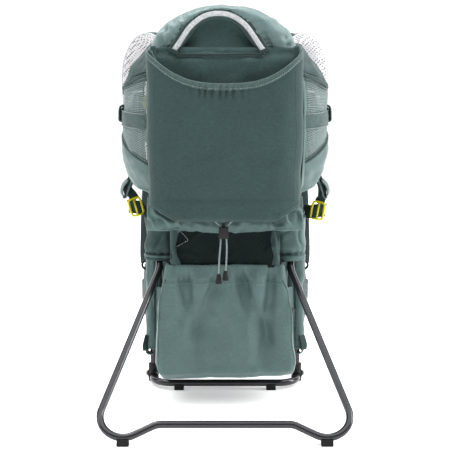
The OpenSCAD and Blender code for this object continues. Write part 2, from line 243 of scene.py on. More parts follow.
MATERIALS = {name: maker(name, *values) for name, maker, *values in (
    ("dark_fabric", fabric, (0.0195, 0.042, 0.041), 0.8, 0.08),
    ("satin_fabric", fabric, (0.058, 0.103, 0.1), 0.5, 0.06, 0.1, 0.2, 0.7),
    ("binding_tape", ribbed, (0.042, 0.072, 0.07), 1.2, 0.6),
    ("light_tape", ribbed, (0.44, 0.45, 0.465), 1.3, 0.55),
    # dark_mesh is near black: the back mesh's own dark colour, darkened further as painted shade of the hollow
    # under the seat; the harness pads share it
    ("dark_mesh", dotted_mesh, (0.002, 0.008, 0.008), (0.0006, 0.002, 0.002), 3.0, 0.42, 0.0),
    ("window_mesh", fabric, (0.2, 0.262, 0.256), 0.7, 0.1, 0.08),
    ("pad_mesh", dotted_mesh, (0.7, 0.69, 0.705), (0.13, 0.12, 0.14), 4.4, 0.34),
    ("webbing", ribbed, (0.014, 0.031, 0.03), 1.5),
    ("cord_braid", ribbed, (0.15, 0.2, 0.196), 1.1, 0.5),
    ("black_plastic", moulded, (0.005, 0.005, 0.0055)),
    ("yellow_plastic", moulded, (0.6, 0.55, 0.002), 0.3, 0.12, 0.3),
    ("rubber_foot", moulded, (0.004, 0.004, 0.0045), 0.7, 0.5),
    ("frame_tube", anodised, (0.018, 0.018, 0.021), 0.22),
    ("steel", anodised, (0.3, 0.3, 0.31), 0.35, 1.0),
    ("zip_metal", anodised, (0.07, 0.075, 0.08), 0.4, 0.8),
    ("zip_tape", ribbed, (0.028, 0.048, 0.046), 1.0),
)}
# A lighter copy of the satin fabric for the headrest's cap: painted light, standing for the light from above
# that falls on the dome
TOP_LIT_CAP_FABRIC = fabric("cap_fabric_painted_light", (0.1, 0.158, 0.155), 0.42, 0.08, 0.1, 0.2, 0.9)
# A lighter copy of the dark fabric for the panel above the pocket and the panel inside the arch: painted light,
# lifting the shade that the pocket and the arch cast there
LIGHTENED_PANEL_FABRIC = fabric("panel_fabric_painted_light", (0.036, 0.072, 0.07), 0.75, 0.06)
THREAD = ribbed("thread", (0.19, 0.25, 0.245), 0.6)
PALE_THREAD = ribbed("pale_thread", (0.5, 0.54, 0.54), 0.6)


# ---- Mesh making ----

def link(o):
    bpy.context.scene.collection.objects.link(o)
    return o


def make(name, verts, faces, slot, body="frame", replaces=(), mats=None, face_mats=None, smooth=True):
    """A mesh object from millimetre points, with its body, finish and the CAD nodes that it stands for."""
    mesh = bpy.data.meshes.new(name)
    mesh.from_pydata((np.asarray(verts, float) * MM).tolist(), [], [list(map(int, f)) for f in faces])
    mesh.validate()
    for material in mats or [MATERIALS[slot]]:
        mesh.materials.append(material)
    if face_mats is not None:
        mesh.polygons.foreach_set("material_index", face_mats)
    b = bmesh.new()
    b.from_mesh(mesh)
    bmesh.ops.remove_doubles(b, verts=b.verts, dist=1e-6)
    bmesh.ops.recalc_face_normals(b, faces=b.faces)
    b.to_mesh(mesh)
    b.free()
    if smooth:
        mesh.polygons.foreach_set("use_smooth", [True] * len(mesh.polygons))
    o = link(bpy.data.objects.new(name, mesh))
    if body:
        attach(o, body)
    if replaces:
        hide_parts(*replaces)
    return o


def normals(p, closed=False):
    if closed:
        du = np.roll(p, -1, 0) - np.roll(p, 1, 0)
    else:
        du = np.gradient(p, axis=0)
    return unit(np.cross(du, np.gradient(p, axis=1)))


def quads(nu, nv, u_loop, v_loop=True):
    """Faces over nu rows of nv points each; either way may be joined into a loop."""
    return [(i * nv + k, i * nv + (k + 1) % nv, (i + 1) % nu * nv + (k + 1) % nv, (i + 1) % nu * nv + k)
            for i in range(nu if u_loop else nu - 1) for k in range(nv if v_loop else nv - 1)]


def cloth(name, p, thick, slot, closed=False, back=None, mats=None, **rest):
    """A closed solid of even or varying thickness around the grid of points p, with rounded long edges.
    closed joins the grid's first axis into a loop. back is another slot's material for the far side."""
    nu, nv = p.shape[:2]
    half = np.broadcast_to(np.asarray(thick, float), (nu, nv))[..., None] / 2
    n = normals(p, closed)
    front, rear = p + n * half, p - n * half
    end = p[:, -1:] + unit(p[:, -1:] - p[:, -2:-1]) * half[:, -1:]
    start = p[:, :1] + unit(p[:, :1] - p[:, 1:2]) * half[:, :1]
    loop = np.concatenate([front, end, rear[:, ::-1], start], axis=1)
    m = loop.shape[1]
    faces = quads(nu, m, closed)
    kinds = [int(k >= nv) for k in range(m)] * (nu if closed else nu - 1)
    if not closed:
        for i in (0, nu - 1):
            faces.append([i * m + k for k in (nv - 1, nv, nv + 1)])
            faces.append([i * m + k for k in (0, 2 * nv, m - 1)])
            for k in range(nv - 1):
                faces.append((i * m + k, i * m + k + 1, i * m + 2 * nv - 1 - k, i * m + 2 * nv - k))
        kinds += [0] * (2 * (nv + 1))
    if back:
        mats = [MATERIALS[slot], MATERIALS[back]]
    return make(name, loop.reshape(-1, 3), faces, slot, mats=mats, face_mats=kinds if back else None, **rest)


def grid(nu, nv, u=(0, 1), v=(0, 1)):
    return np.meshgrid(np.linspace(*u, nu), np.linspace(*v, nv), indexing="ij")


def stack(x, y, z):
    return np.stack(np.broadcast_arrays(x, y, z), axis=-1).astype(float)


def border(p):
    """The points around the edge of the grid p."""
    return np.concatenate([p[:, 0], p[-1, 1:], p[::-1, -1][1:], p[0, ::-1][1:-1]])


def distances(line):
    """How far along the line each of its points is."""
    return np.concatenate([[0], np.cumsum(np.linalg.norm(np.diff(line, axis=0), axis=1))])


def curve(points, step=3.0, count=None):
    """Points every step millimetres, or count of them, on a smooth curve through the given ones."""
    p = np.asarray(points, float)
    ext = np.vstack([2 * p[0] - p[1], p, 2 * p[-1] - p[-2]])
    t = np.linspace(0, 1, 24, endpoint=False)[:, None]
    fine = []
    for i in range(1, len(ext) - 2):
        a, b, c, d = ext[i - 1 : i + 3]
        fine.append(0.5 * (2 * b + (c - a) * t + (2 * a - 5 * b + 4 * c - d) * t**2
                           + (3 * b - a - 3 * c + d) * t**3))
    fine = np.vstack([*fine, p[-1:]])
    along = distances(fine)
    count = count or max(3, int(round(along[-1] / step)) + 1)
    at = np.linspace(0, along[-1], count)
    return np.stack([np.interp(at, along, fine[:, k]) for k in range(p.shape[1])], axis=-1)


def rounded_loop(half, low, high, corner, count):
    """Evenly spaced points on a rounded rectangle in X and Y, from the middle of its high side towards +X,
    with their outward directions."""
    a = np.linspace(0, math.pi / 2, 12)
    c, s = corner * np.cos(a), corner * np.sin(a)
    x, top, bottom = half - corner, high - corner, low + corner
    side = np.concatenate([[(0, high)], np.stack([x + s, top + c], -1), np.stack([x + c, bottom - s], -1),
                           [(0, low)]])
    line = np.concatenate([side, (side * [-1, 1])[::-1][1:]])
    along = distances(line)
    at = np.linspace(0, along[-1], count, endpoint=False)
    p = np.stack([np.interp(at, along, line[:, k]) for k in (0, 1)], axis=-1)
    t = unit(np.roll(p, -1, 0) - np.roll(p, 1, 0))
    return p, np.stack([-t[:, 1], t[:, 0]], axis=-1)


def loop_wall(rows, count):
    """A wall of rounded loops: each row is (half width, low y, high y, corner radius, z)."""
    points, out = [], []
    for half, low, high, corner, z in rows:
        p, n = rounded_loop(half, low, high, corner, count)
        points.append(np.column_stack([p, np.full(count, z)]))
        out.append(np.column_stack([n, np.zeros(count)]))
    return np.stack(points, axis=1), np.stack(out, axis=1)


def frames(path, wdir):
    t = unit(np.gradient(path, axis=0))
    n = unit(np.cross(t, np.broadcast_to(np.asarray(wdir, float), t.shape)))
    return t, unit(np.cross(n, t)), n


def ribbon_grid(path, width, wdir, across=7, crown=0.0):
    t, w, n = frames(path, wdir)
    s = np.linspace(-0.5, 0.5, across)
    width = np.broadcast_to(np.asarray(width, float), (len(path),))
    return (path[:, None] + w[:, None] * (s[None, :, None] * width[:, None, None])
            + n[:, None] * (crown * (0.25 - s**2) * 4)[None, :, None])


def ribbon(name, points, width, thick, wdir, slot, step=4.0, crown=0.0, across=5, **rest):
    """A flat strap along a smooth curve."""
    return cloth(name, ribbon_grid(curve(points, step), width, wdir, across, crown), thick, slot, **rest)


def tube_parts(path, radius, sides=8, closed=False):
    """Vertices and faces of a round tube along a path."""
    path = np.asarray(path, float)
    n = len(path)
    t = unit(np.roll(path, -1, 0) - np.roll(path, 1, 0)) if closed else unit(np.gradient(path, axis=0))
    side = np.zeros_like(t)
    ref = np.array([0.0, 0.0, 1.0]) if abs(t[0][2]) < 0.8 else np.array([0.0, 1.0, 0.0])
    for i, d in enumerate(t):
        ref = ref - d * (ref @ d)
        ref /= np.linalg.norm(ref)
        side[i] = ref
    up = np.cross(t, side)
    a = (np.arange(sides) * 2 * math.pi / sides)[None, :, None]
    radius = np.broadcast_to(np.asarray(radius, float), (n,))[:, None, None]
    ring = path[:, None] + radius * (side[:, None] * np.cos(a) + up[:, None] * np.sin(a))
    faces = quads(n, sides, closed)
    if not closed:
        faces += [tuple(range(sides)), tuple(range((n - 1) * sides, n * sides))]
    return ring.reshape(-1, 3), faces


def many(name, parts, slot, **rest):
    """One object from several (vertices, faces) parts."""
    verts, faces, base = [], [], 0
    for v, f in parts:
        verts.append(v)
        faces += [tuple(i + base for i in face) for face in f]
        base += len(v)
    return make(name, np.vstack(verts), faces, slot, **rest)


def piping(name, points, radius, slot, step=3.0, closed=False, sides=8, **rest):
    return many(name, [tube_parts(curve(points, step), radius, sides, closed)], slot, **rest)


def stitches(name, lines, slot="cord_braid", pitch=4.2, share=0.62, radius=0.42, mats=None, **rest):
    """Rows of short thread stitches along the given lines of points."""
    parts = []
    for line in lines:
        p = curve(line, pitch / 4)
        for i in range(0, len(p) - 4, 4):
            a, b = p[i], p[i] + (p[i + 3] - p[i]) * share / 0.75
            parts.append(tube_parts([a, (a + b) / 2, b], [radius * 0.6, radius, radius * 0.6], 5))
    return many(name, parts, slot, mats=mats or [THREAD], **rest)


# Edges of the CAD that turn by more than this, in degrees, are rounded
SHARP_ANGLE = 32


def refined(node, slot, bevel, segments=3, body="frame"):
    """A copy of a CAD node with rounded edges, standing for it."""
    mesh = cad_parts[node].data.copy()
    b = bmesh.new()
    b.from_mesh(mesh)
    bmesh.ops.remove_doubles(b, verts=b.verts, dist=2e-5)
    bmesh.ops.dissolve_limit(b, angle_limit=math.radians(1), verts=b.verts, edges=b.edges)
    sharp = [e for e in b.edges
             if len(e.link_faces) == 2 and e.calc_face_angle(0) > math.radians(SHARP_ANGLE)]
    bmesh.ops.bevel(b, geom=sharp, offset=bevel * MM, segments=segments, profile=0.5, affect="EDGES",
                    clamp_overlap=True)
    b.to_mesh(mesh)
    b.free()
    mesh.materials.clear()
    mesh.materials.append(MATERIALS[slot])
    mesh.polygons.foreach_set("use_smooth", [True] * len(mesh.polygons))
    mesh.set_sharp_from_angle(angle=math.radians(40))
    o = link(bpy.data.objects.new("fine_" + node, mesh))
    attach(o, body)
    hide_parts(node)
    return o


def mirrored(points, side):
    p = np.array(points, float)
    p[..., 0] *= side
    return p


# ---- Camera, stage and lights ----

# Where the camera is, in metres, how far it looks down, in degrees, and its lens in millimetres
CAMERA_BACK = 2.424
CAMERA_UP = 0.772
CAMERA_TILT = 10.43
LENS = 108.5


def camera():
    data = bpy.data.cameras.new("camera")
    data.lens = LENS
    data.sensor_width = 36
    o = link(bpy.data.objects.new("camera", data))
    o.location = (0, -CAMERA_BACK, CAMERA_UP)
    o.rotation_euler = (math.radians(90 - CAMERA_TILT), 0, 0)
    bpy.context.scene.camera = o


def area_light(name, place, target, size, power):
    data = bpy.data.lights.new(name, "AREA")
    data.shape = "RECTANGLE"
    data.size, data.size_y = size
    data.energy = power
    o = link(bpy.data.objects.new(name, data))
    o.location = place
    o.rotation_euler = (Vector(target) - Vector(place)).to_track_quat("-Z", "Y").to_euler()
    o.visible_camera = False


# A round floor of this radius in metres
FLOOR_REACH = 2.3
FLOOR_SIDES = 96
# Brightness of the sky near the horizon and high up, and where one turns into the other: 0 is straight down
HORIZON = 1.08
SKY = 0.16
SKY_FADE = (0.58, 0.64)
# Powers of the lights in watts
TOP_POWER = 435
RIGHT_POWER = 98
LEFT_POWER = 26
FLOOR_GLOW = 0.35
RIM_POWER = 15
BACK_POWER = 45


def stage():
    m, tree, shader, where = new_material("floor_paint")
    paint = ramp(tree, noise(tree, where, 3, 2.0), (0.93,) * 3, (0.95,) * 3, (0.0, 1.0))
    fill(tree, shader, Base_Color=paint, Roughness=0.9, Specular_IOR_Level=0.1,
         Emission_Color=(1, 1, 1, 1), Emission_Strength=FLOOR_GLOW)
    mesh = bpy.data.meshes.new("floor")
    turns = [i * 2 * math.pi / FLOOR_SIDES for i in range(FLOOR_SIDES)]
    rim = [(FLOOR_REACH * math.cos(a), FLOOR_REACH * math.sin(a), 0) for a in turns]
    mesh.from_pydata(rim, [], [tuple(range(FLOOR_SIDES))])
    mesh.materials.append(m)
    link(bpy.data.objects.new("floor", mesh))
    # White near and below the horizon and a dimmer sky above it
    world = bpy.data.worlds.new("studio")
    world.use_nodes = True
    tree = world.node_tree
    direction = add_node(tree, "ShaderNodeTexCoord").outputs["Generated"]
    height = add_node(tree, "ShaderNodeSeparateXYZ", Vector=direction).outputs["Z"]
    sky = ramp(tree, total(tree, (height, 0.5), plus=0.5), (HORIZON,) * 3, (SKY,) * 3, SKY_FADE)
    fill(tree, tree.nodes["Background"], Color=sky)
    bpy.context.scene.world = world
    middle, floor = (0, 0, 0.38), (0, 0, 0)
    area_light("softbox_top", (0, -0.2, 4.0), floor, (7, 7), TOP_POWER)
    area_light("key_right", (2.9, -0.2, 1.7), middle, (1.0, 2.2), RIGHT_POWER)
    area_light("key_left", (-2.9, -0.5, 1.5), middle, (0.9, 2.2), LEFT_POWER)
    area_light("rim_right", (1.9, 2.0, 1.5), middle, (0.8, 2.2), RIM_POWER)
    area_light("rim_left", (-1.9, 2.0, 1.5), middle, (0.8, 2.2), RIM_POWER)
    area_light("top_back", (-0.3, 1.0, 2.6), (0, 0, 0.6), (1.6, 0.8), BACK_POWER)
    bpy.context.scene.view_settings.view_transform = "Standard"


# ---- Shock cord ----

# The cords' diameter and their routes, from the loops at the top to the free ends
CORD_DIAMETER = 3.0
CORD_LEFT = [(-19, -104, 353), (-18, -103, 352), (-16, -102, 350), (-13, -102, 347), (-10, -102, 344.5),
             (-8, -102, 342), (-7.5, -102, 339), (-7.5, -102, 334), (-7.5, -102, 326), (-7.5, -102, 318),
             (-8, -102, 308), (-9, -102, 296), (-10, -102, 284), (-10.5, -102, 270), (-11, -102, 257)]
CORD_RIGHT = [(14, -104, 353), (13, -103, 352), (11, -102, 350), (8, -102, 347), (5, -102, 344.5),
              (3, -102, 342), (2.5, -102, 339), (2.5, -102, 334), (2.5, -102, 326), (2.5, -102, 318),
              (3, -102, 308), (3, -102, 296), (2.5, -102, 284), (2, -102, 274), (1, -102, 263)]


def cords():
    lock = refined("cord_lock", "black_plastic", 2.6, 4)
    button = refined("cord_button", "black_plastic", 0.6, 2, "cord_button")
    ends = refined("cord_details", "black_plastic", 1.2, 3)
    for name, route, others in (("cord_left", CORD_LEFT, [lock, button]), ("cord_right", CORD_RIGHT, [ends])):
        path = curve(route, 1.6)
        o = many("shock_" + name, [tube_parts(path, CORD_DIAMETER / 2, 12)], "cord_braid", replaces=[name])


# ---- Tubes and hard parts ----

def hard_parts():
    for node in ("main_frame", "base_loop", "crossbars", "kickstand"):
        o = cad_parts[node]
        for s in o.material_slots:
            s.material = MATERIALS["frame_tube"]
    for node in ("corner_joint_left", "corner_joint_right", "pivot_bracket_left", "pivot_bracket_right"):
        refined(node, "black_plastic", 1.0)
    for node in ("loop_foot_left", "loop_foot_right"):
        refined(node, "rubber_foot", 1.6)
    for node in ("stand_foot_left", "stand_foot_right"):
        refined(node, "rubber_foot", 1.6, body="kickstand")
    for node in ("corner_bolts", "pivot_pins"):
        refined(node, "steel", 0.7)


# ---- Rear pocket, its binding and the panel behind it ----

POCKET_WIDE = 133
POCKET_TURN = [(0, -112), (56, -113), (94, -111.5), (115, -106.5), (127, -98), (132, -87), (133, -74),
               (131.5, -62), (130.5, -51)]


def pocket_half_width(z):
    return np.interp(z, [354, 378, 492, 648], [128, 131, 135, 133])


def pocket_bottom(k):
    return 354 + 24 * np.clip((np.abs(k) - 0.64) / 0.33, 0, 1) ** 1.15


def pocket_rim(k):
    return 589 + 55 * np.abs(k) ** 2.7


def pocket_surface(s, z, ripple=True):
    """Points of the pocket's cloth; s runs across it from -1 to 1, around both turned-back sides."""
    turn = curve(POCKET_TURN, count=200)
    at = np.abs(s) * (len(turn) - 1)
    rows = np.arange(len(turn))
    k = np.interp(at, rows, turn[:, 0]) / POCKET_WIDE * np.sign(s)
    y = np.interp(at, rows, turn[:, 1])
    face = smoothstep((0.985 - np.abs(k)) / 0.3)
    below = np.clip((392 - z) / 38, 0, 1)
    y = y - face * 3.5 * np.sin(math.pi * np.clip((z - 392) / 210, 0, 1))
    y = y - face * (5 * below - 2.4 * np.exp(-((z - 389) / 4.5) ** 2)) + 7 * np.clip((361 - z) / 7, 0, 1) ** 2
    p = stack(k * pocket_half_width(z), y, z)
    if ripple:
        x = p[..., 0].copy()
        rim = pocket_rim(k) - z
        tucks = np.sin(x * 0.52 + 0.9 * np.sin(x * 0.17)) * np.exp(-((x + 14) / 46) ** 4)
        p[..., 1] += 3.2 * tucks * np.exp(-((rim - 13) / 10) ** 2) * face
        p[..., 1] += face * (0.9 * rumple(p, 110, 11) + 0.35 * rumple(p, 38, 12))
        p[..., 1] -= 1.6 * face * creases(p * [0.35, 1, 1.6], 120, 13) * np.clip((430 - z) / 60, 0, 1)
        edge = smoothstep((np.abs(k) - 0.8) / 0.15)
        p[..., 0] += edge * np.sign(s) * (0.9 * rumple(p, 60, 14))
    return p


def pocket_share(s, z):
    """How far out the place s is at the height z, as a share of the pocket's half width there."""
    return pocket_surface(s, z, False)[..., 0] / pocket_half_width(z)


def rear_pocket():
    s, v = grid(161, 81, (-1, 1))
    k = pocket_share(s, 480.0)
    shell = pocket_surface(s, pocket_bottom(k) + v * (pocket_rim(k) - pocket_bottom(k)))
    cloth("pocket_shell", shell[::-1], 2.2, "dark_fabric", replaces=["rear_pocket"])
    x, y, z = np.moveaxis(shell[:, :1], -1, 0)
    hem = stack(x, y - 0.6, z + np.linspace(-0.6, 7, 5))
    cloth("pocket_hem", hem[::-1], 3.2, "dark_fabric")
    s, v = grid(161, 7, (-1, 1))
    tape = pocket_surface(s, pocket_rim(pocket_share(s, 600.0)) - 8.5 + 9.5 * v)
    tape[..., 1] -= 0.7 + 0.7 * np.sin(math.pi * v)
    cloth("pocket_tape", tape[::-1], 3.6, "binding_tape", replaces=["pocket_binding"])
    stitches("pocket_tape_stitches", [tape[8:-8:2, 1] - [0, 2.2, 0]], pitch=4.0, radius=0.6)
    for side, name in SIDES:
        edge = pocket_surface(np.full(40, side * 0.68), np.linspace(386, 612, 40)) - [0, 1.0, 0]
        piping("pocket_edge_fold_" + name, edge, 0.7, "dark_fabric", 6)
        # Crumpled cloth tucked in below the pocket's cut corner
        u, v = grid(41, 33)
        top = 360 + 30 * u
        y = -88 + 8 * v - 10 * np.sin(math.pi * u) * (1 - 0.4 * v)
        p = mirrored(stack(76 + 60 * u, y, 334 + v * (top - 334)), side)
        fold = creases(p * [1, 1, 0.8], 34, 21 + side) * smoothstep(v / 0.4)
        p[..., 1] -= 6.5 * fold + 1.2 * rumple(p, 22, 22 + side)
        cloth("corner_tuck_" + name, p, 2.4, "satin_fabric")


def rear_panel():
    x, v = grid(61, 61, (-122, 122))
    z = 346 + 302 * v
    p = stack(x, -62 - 2.5 * np.cos(x / 122 * 1.5) + 8 * smoothstep((z - 630) / 9), z)
    p[..., 1] += 0.9 * rumple(p, 70, 31) + 0.35 * rumple(p, 25, 32)
    # Drawn in the lightened copy of the dark fabric: painted light against the shade here
    cloth("upper_panel", p, 4, "dark_fabric", replaces=["rear_panel"], mats=[LIGHTENED_PANEL_FABRIC])
    seam = [(-86, -67, 638), (-20, -67.5, 637.5), (40, -67, 638), (66, -66.5, 638)]
    piping("panel_seam", seam, 1.2, "webbing")
    fold = [(-84, -66.5, 634.5), (-10, -67.5, 634.5), (66, -66.5, 634.5)]
    piping("panel_seam_fold", fold, 1.6, "dark_fabric")
    edge = [(121, -66, 560), (122, -69, 600), (124, -70, 632), (124, -66, 652)]
    # Near-black tubes down the gaps beside the panel's sides: painted shade between the panel and the pocket
    gap_shade = [(126.5, -66, 580), (127.5, -67, 610), (128, -66, 640)]
    strap = [(112, -70, 600), (119, -72, 618), (127, -72, 634), (131, -60, 648)]
    for side, name in SIDES:
        ribbon("panel_edge_" + name, mirrored(edge, side), 7, 2.4, (1, 0, 0), "dark_fabric")
        piping("panel_gap_" + name, mirrored(gap_shade, side), 2.0, "webbing")
        ribbon("corner_strap_" + name, mirrored(strap, side), 9, 2.2, (0.4, 0, 1), "satin_fabric")


# ---- Headrest ----

ARCH_X = -11
ARCH = [(81, 640), (70, 655), (60, 670), (49, 685), (34, 698), (18, 705.5), (0, 708)]
DOME = [(124, 638), (123.5, 652), (118, 667), (107, 681), (88, 695.5), (63, 708), (34, 716.5), (0, 720)]


def two_sided(half):
    return [*half, *[(-x, z) for x, z in reversed(half[:-1])]]


def arch_curve(grow, count):
    """The arch's line, moved outwards by grow and still ending level with its feet."""
    p = curve(two_sided(ARCH), count=count)
    t = unit(np.gradient(p, axis=0))
    p = p + grow * np.stack([t[:, 1], -t[:, 0]], axis=-1)
    p[:, 1] = np.maximum(p[:, 1], 639)
    return p + [ARCH_X, 0]


CAP_SECTION = [(-1, -54), (3, -59), (15, -63), (30, -60), (42, -50), (49, -34), (50, -20), (47, -6), (40, 2),
               (25, 6), (5, 7), (-18, 7)]
CAP_RAYS, CAP_RINGS, ARCH_RAYS = 121, 64, 91


def between(a, b, t):
    """Lines of points that go from the line a to the line b as t goes from 0 to 1."""
    return a[:, None] * (1 - t) + b[:, None] * t


def headrest_cap():
    section = curve(CAP_SECTION, count=CAP_RINGS) / [50, 1]
    k = section[None, :, :1]
    flat = between(arch_curve(6, CAP_RAYS), curve(two_sided(DOME), count=CAP_RAYS), k)
    p = stack(flat[..., 0], section[:, 1], flat[..., 1])
    foot = np.abs(np.linspace(-1, 1, CAP_RAYS))[:, None] ** 4
    p[..., 1] += foot * np.clip(-40 - p[..., 1], 0, 30) * 0.3
    n = normals(p)
    ray = np.arange(CAP_RAYS)[:, None] / CAP_RAYS
    k = k[..., 0]
    outside = smoothstep(k / 0.12) * smoothstep((1.02 - k) / 0.1)
    fine = np.sin(ray * 150 + 3.0 * np.sin(ray * 17)) * np.exp(-k * 7)
    broad = np.sin(ray * 74 + 5 * np.sin(ray * 9)) * np.exp(-((k - 0.95) / 0.22) ** 2)
    lift = 3.0 * outside * (fine + 0.8 * broad) + 2.2 * rumple(p, 60, 41)
    lift = lift - 5.0 * creases(p * [1, 1, 0.6], 70, 42) * outside
    calm = 1 - 0.6 * smoothstep((p[..., 2] - 690) / 25)
    p = p - n * (lift * calm)[..., None]
    # The cap is drawn in the lighter copy of the satin: painted light from above
    cloth("headrest_cap", p, 2.4, "satin_fabric", replaces=["headrest"], mats=[TOP_LIT_CAP_FABRIC])


def headrest():
    headrest_cap()
    # Tape around the arch, with a dark border outside it
    t = np.linspace(0, 1, 7)[None, :, None]
    for name, grow, y, wide, slot, stands_for in (
            ("arch_band", 0, -62.0, 3.7, "light_tape", ["arch_tape"]),
            ("arch_border", 6, -60.5, 2.6, "dark_fabric", [])):
        flat = between(arch_curve(grow + wide, ARCH_RAYS), arch_curve(grow - wide, ARCH_RAYS), t)
        p = stack(flat[..., 0], y - 1.2 * np.sin(math.pi * t[..., 0]), flat[..., 1])
        cloth(name, p, 2.2, slot, replaces=stands_for)
    rim = arch_curve(10, ARCH_RAYS)[3:-3]
    stitches("arch_stitches", [stack(rim[:, 0], -62.6, rim[:, 1])], pitch=3.6, radius=0.35)
    # Lining that runs in under the tape, and the panel at its back
    t = np.linspace(0, 1, 9)[None, :, None]
    tunnel = between(arch_curve(-3, ARCH_RAYS), arch_curve(-11, ARCH_RAYS), t)
    y = -60 + 27 * t[..., 0] ** 1.3
    cloth("arch_lining", stack(tunnel[..., 0], y, tunnel[..., 1]), 1.6, "satin_fabric")
    t = np.linspace(0, 1, 33)[None, :, None]
    base = np.stack([np.linspace(ARCH_X + 76, ARCH_X - 76, ARCH_RAYS), np.full(ARCH_RAYS, 636)], axis=-1)
    flat = between(arch_curve(-8, ARCH_RAYS), base, t)
    t = t[..., 0]
    p = stack(flat[..., 0], -33 - 30 * t**2.2, flat[..., 1])
    p[..., 1] += 0.9 * rumple(p, 45, 43) - 0.9 * creases(p, 60, 44) * t
    # Drawn in the lightened copy of the dark fabric: painted light against the shade in the recess
    cloth("arch_panel", p, 2.0, "dark_fabric", mats=[LIGHTENED_PANEL_FABRIC])
    for side, name in SIDES:
        u, v = grid(9, 9, (-1, 1))
        x = ARCH_X + side * 81 + u * 8.5 - v * side * 3.2
        p = stack(x, -64.4 - 1.2 * (1 - u**2), 641.5 + v * 4.5 + 3.6 * u * side)
        cloth("arch_foot_" + name, p, 1.8, "dark_fabric")
    pad, seam = pillow("headrest_pad", (-74, -2, 628), (74, 14, 690), "satin_fabric", seed=45)
    piping("headrest_pad_piping", seam[::2], 1.8, "binding_tape", 5, closed=True)


# ---- Sides of the cabin ----

RING = 95.0
RING_Y = 26.0
# The wall's rear and front edges, as angles in degrees about the ring's axis
REAR, FRONT = -60, 48
NET_PITCH = 3.0


NET_ROWS = 46
NET_OPEN = 0.75


def ring_x():
    return box("side_window_right")[1][0] - RING + 1


def window_top(a):
    return 571 + 30 * np.clip(-a / 60, -0.2, 1.0)


def window_bottom(a):
    return 488 - 44 * np.clip(-a / 60, 0, 1.0) ** 0.9 - 10 * np.clip(a / 48, 0, 1)


def wing_bottom(a):
    return 405 - 14 * np.clip(-a / 60, 0, 1)


def side_point(side, a, z, lift=0.0):
    """The cabin's side wall: a is the angle in degrees about the ring's upright axis, below 0 to the rear."""
    top = window_top(a)
    q = np.clip((z - top) / (650 - top), 0, 1)
    r = RING - 49 * q**1.12 + 5 * np.sin(math.pi * q)
    tuck = np.clip((455 - z) / 55, 0, 1)
    r = r - 17 * tuck**1.7 + 2.0 * np.sin(math.pi * np.clip((z - 440) / 130, 0, 1)) - 1.0 + lift
    a = np.radians(a)
    return mirrored(stack(ring_x() + r * np.cos(a), RING_Y + r * np.sin(a), z), side)


def side_patch(name, side, rows, low, high, thick, slot, lift=0.0, rough=0.8, seed=0, **rest):
    a, v = grid(97, rows, (REAR, FRONT))
    z = low(a) + v * (high(a) - low(a))
    p = side_point(side, a, z)
    p = side_point(side, a, z, lift + rough * (rumple(p, 48, seed) + 0.4 * rumple(p, 20, seed + 1)))
    return cloth(name, p, thick, slot, **rest)


def around(nodes):
    """The four corners of every cell of a grid, in order around the cell."""
    return [nodes[:-1, :-1], nodes[1:, :-1], nodes[1:, 1:], nodes[:-1, 1:]]


def net(name, side, replaces):
    """An open net: one window per cell, with thread all around it."""
    columns = int(RING * math.radians(FRONT - REAR) / NET_PITCH)
    a, v = grid(columns + 1, NET_ROWS + 1, (REAR, FRONT))
    shift = (np.arange(NET_ROWS + 1) % 2) * 0.5 * (FRONT - REAR) / columns
    a = np.clip(a + shift, REAR, FRONT)
    z = window_bottom(a) + v * (window_top(a) - window_bottom(a))
    wave = 0.9 * rumple(side_point(side, a, z), 55, 51)
    verts, layers = [], []
    count = 0
    for lift in (0.35, -0.35):
        corner = side_point(side, a, z, lift + wave)
        cells = around(corner)
        middle = (cells[0] + cells[1] + cells[2] + cells[3]) / 4
        numbers = []
        for points in [corner] + [middle + (c - middle) * NET_OPEN for c in cells]:
            numbers.append(count + np.arange(points[..., 0].size).reshape(points.shape[:2]))
            verts.append(points.reshape(-1, 3))
            count += numbers[-1].size
        layers.append((numbers[0], [n.ravel() for n in around(numbers[0])], [n.ravel() for n in numbers[1:]]))
    # f and b number the corners of the front and the back; o and i stand for cell and window
    (f, fo, fi), (b, bo, bi) = layers
    rims = []
    for k in range(4):
        q = (k + 1) % 4
        for face in ((fo[k], fo[q], fi[q], fi[k]), (bo[q], bo[k], bi[k], bi[q]),
                     (fi[k], fi[q], bi[q], bi[k])):
            rims.append(np.stack(face, axis=-1))
    faces = np.stack(rims, axis=1).reshape(-1, 4).tolist()
    for i in range(columns):
        for j in (0, NET_ROWS):
            faces.append((f[i, j], f[i + 1, j], b[i + 1, j], b[i, j]))
    for j in range(NET_ROWS):
        for i in (0, columns):
            faces.append((f[i, j], f[i, j + 1], b[i, j + 1], b[i, j]))
    return make(name, np.vstack(verts), faces, "window_mesh", replaces=replaces, smooth=False)


# The loop on the window's band and its lining, with X from the band's outermost point
WINDOW_LOOP = [(-1, 20, 514), (4, 22, 514), (7, 24, 518), (7.5, 25, 527), (6.5, 25, 536), (3, 24, 540),
               (-1, 22, 540)]
WINDOW_LOOP_LINING = [(-1, 24, 518), (3.2, 26, 520), (4.2, 27, 527), (3.2, 27, 534), (-1, 26, 536)]


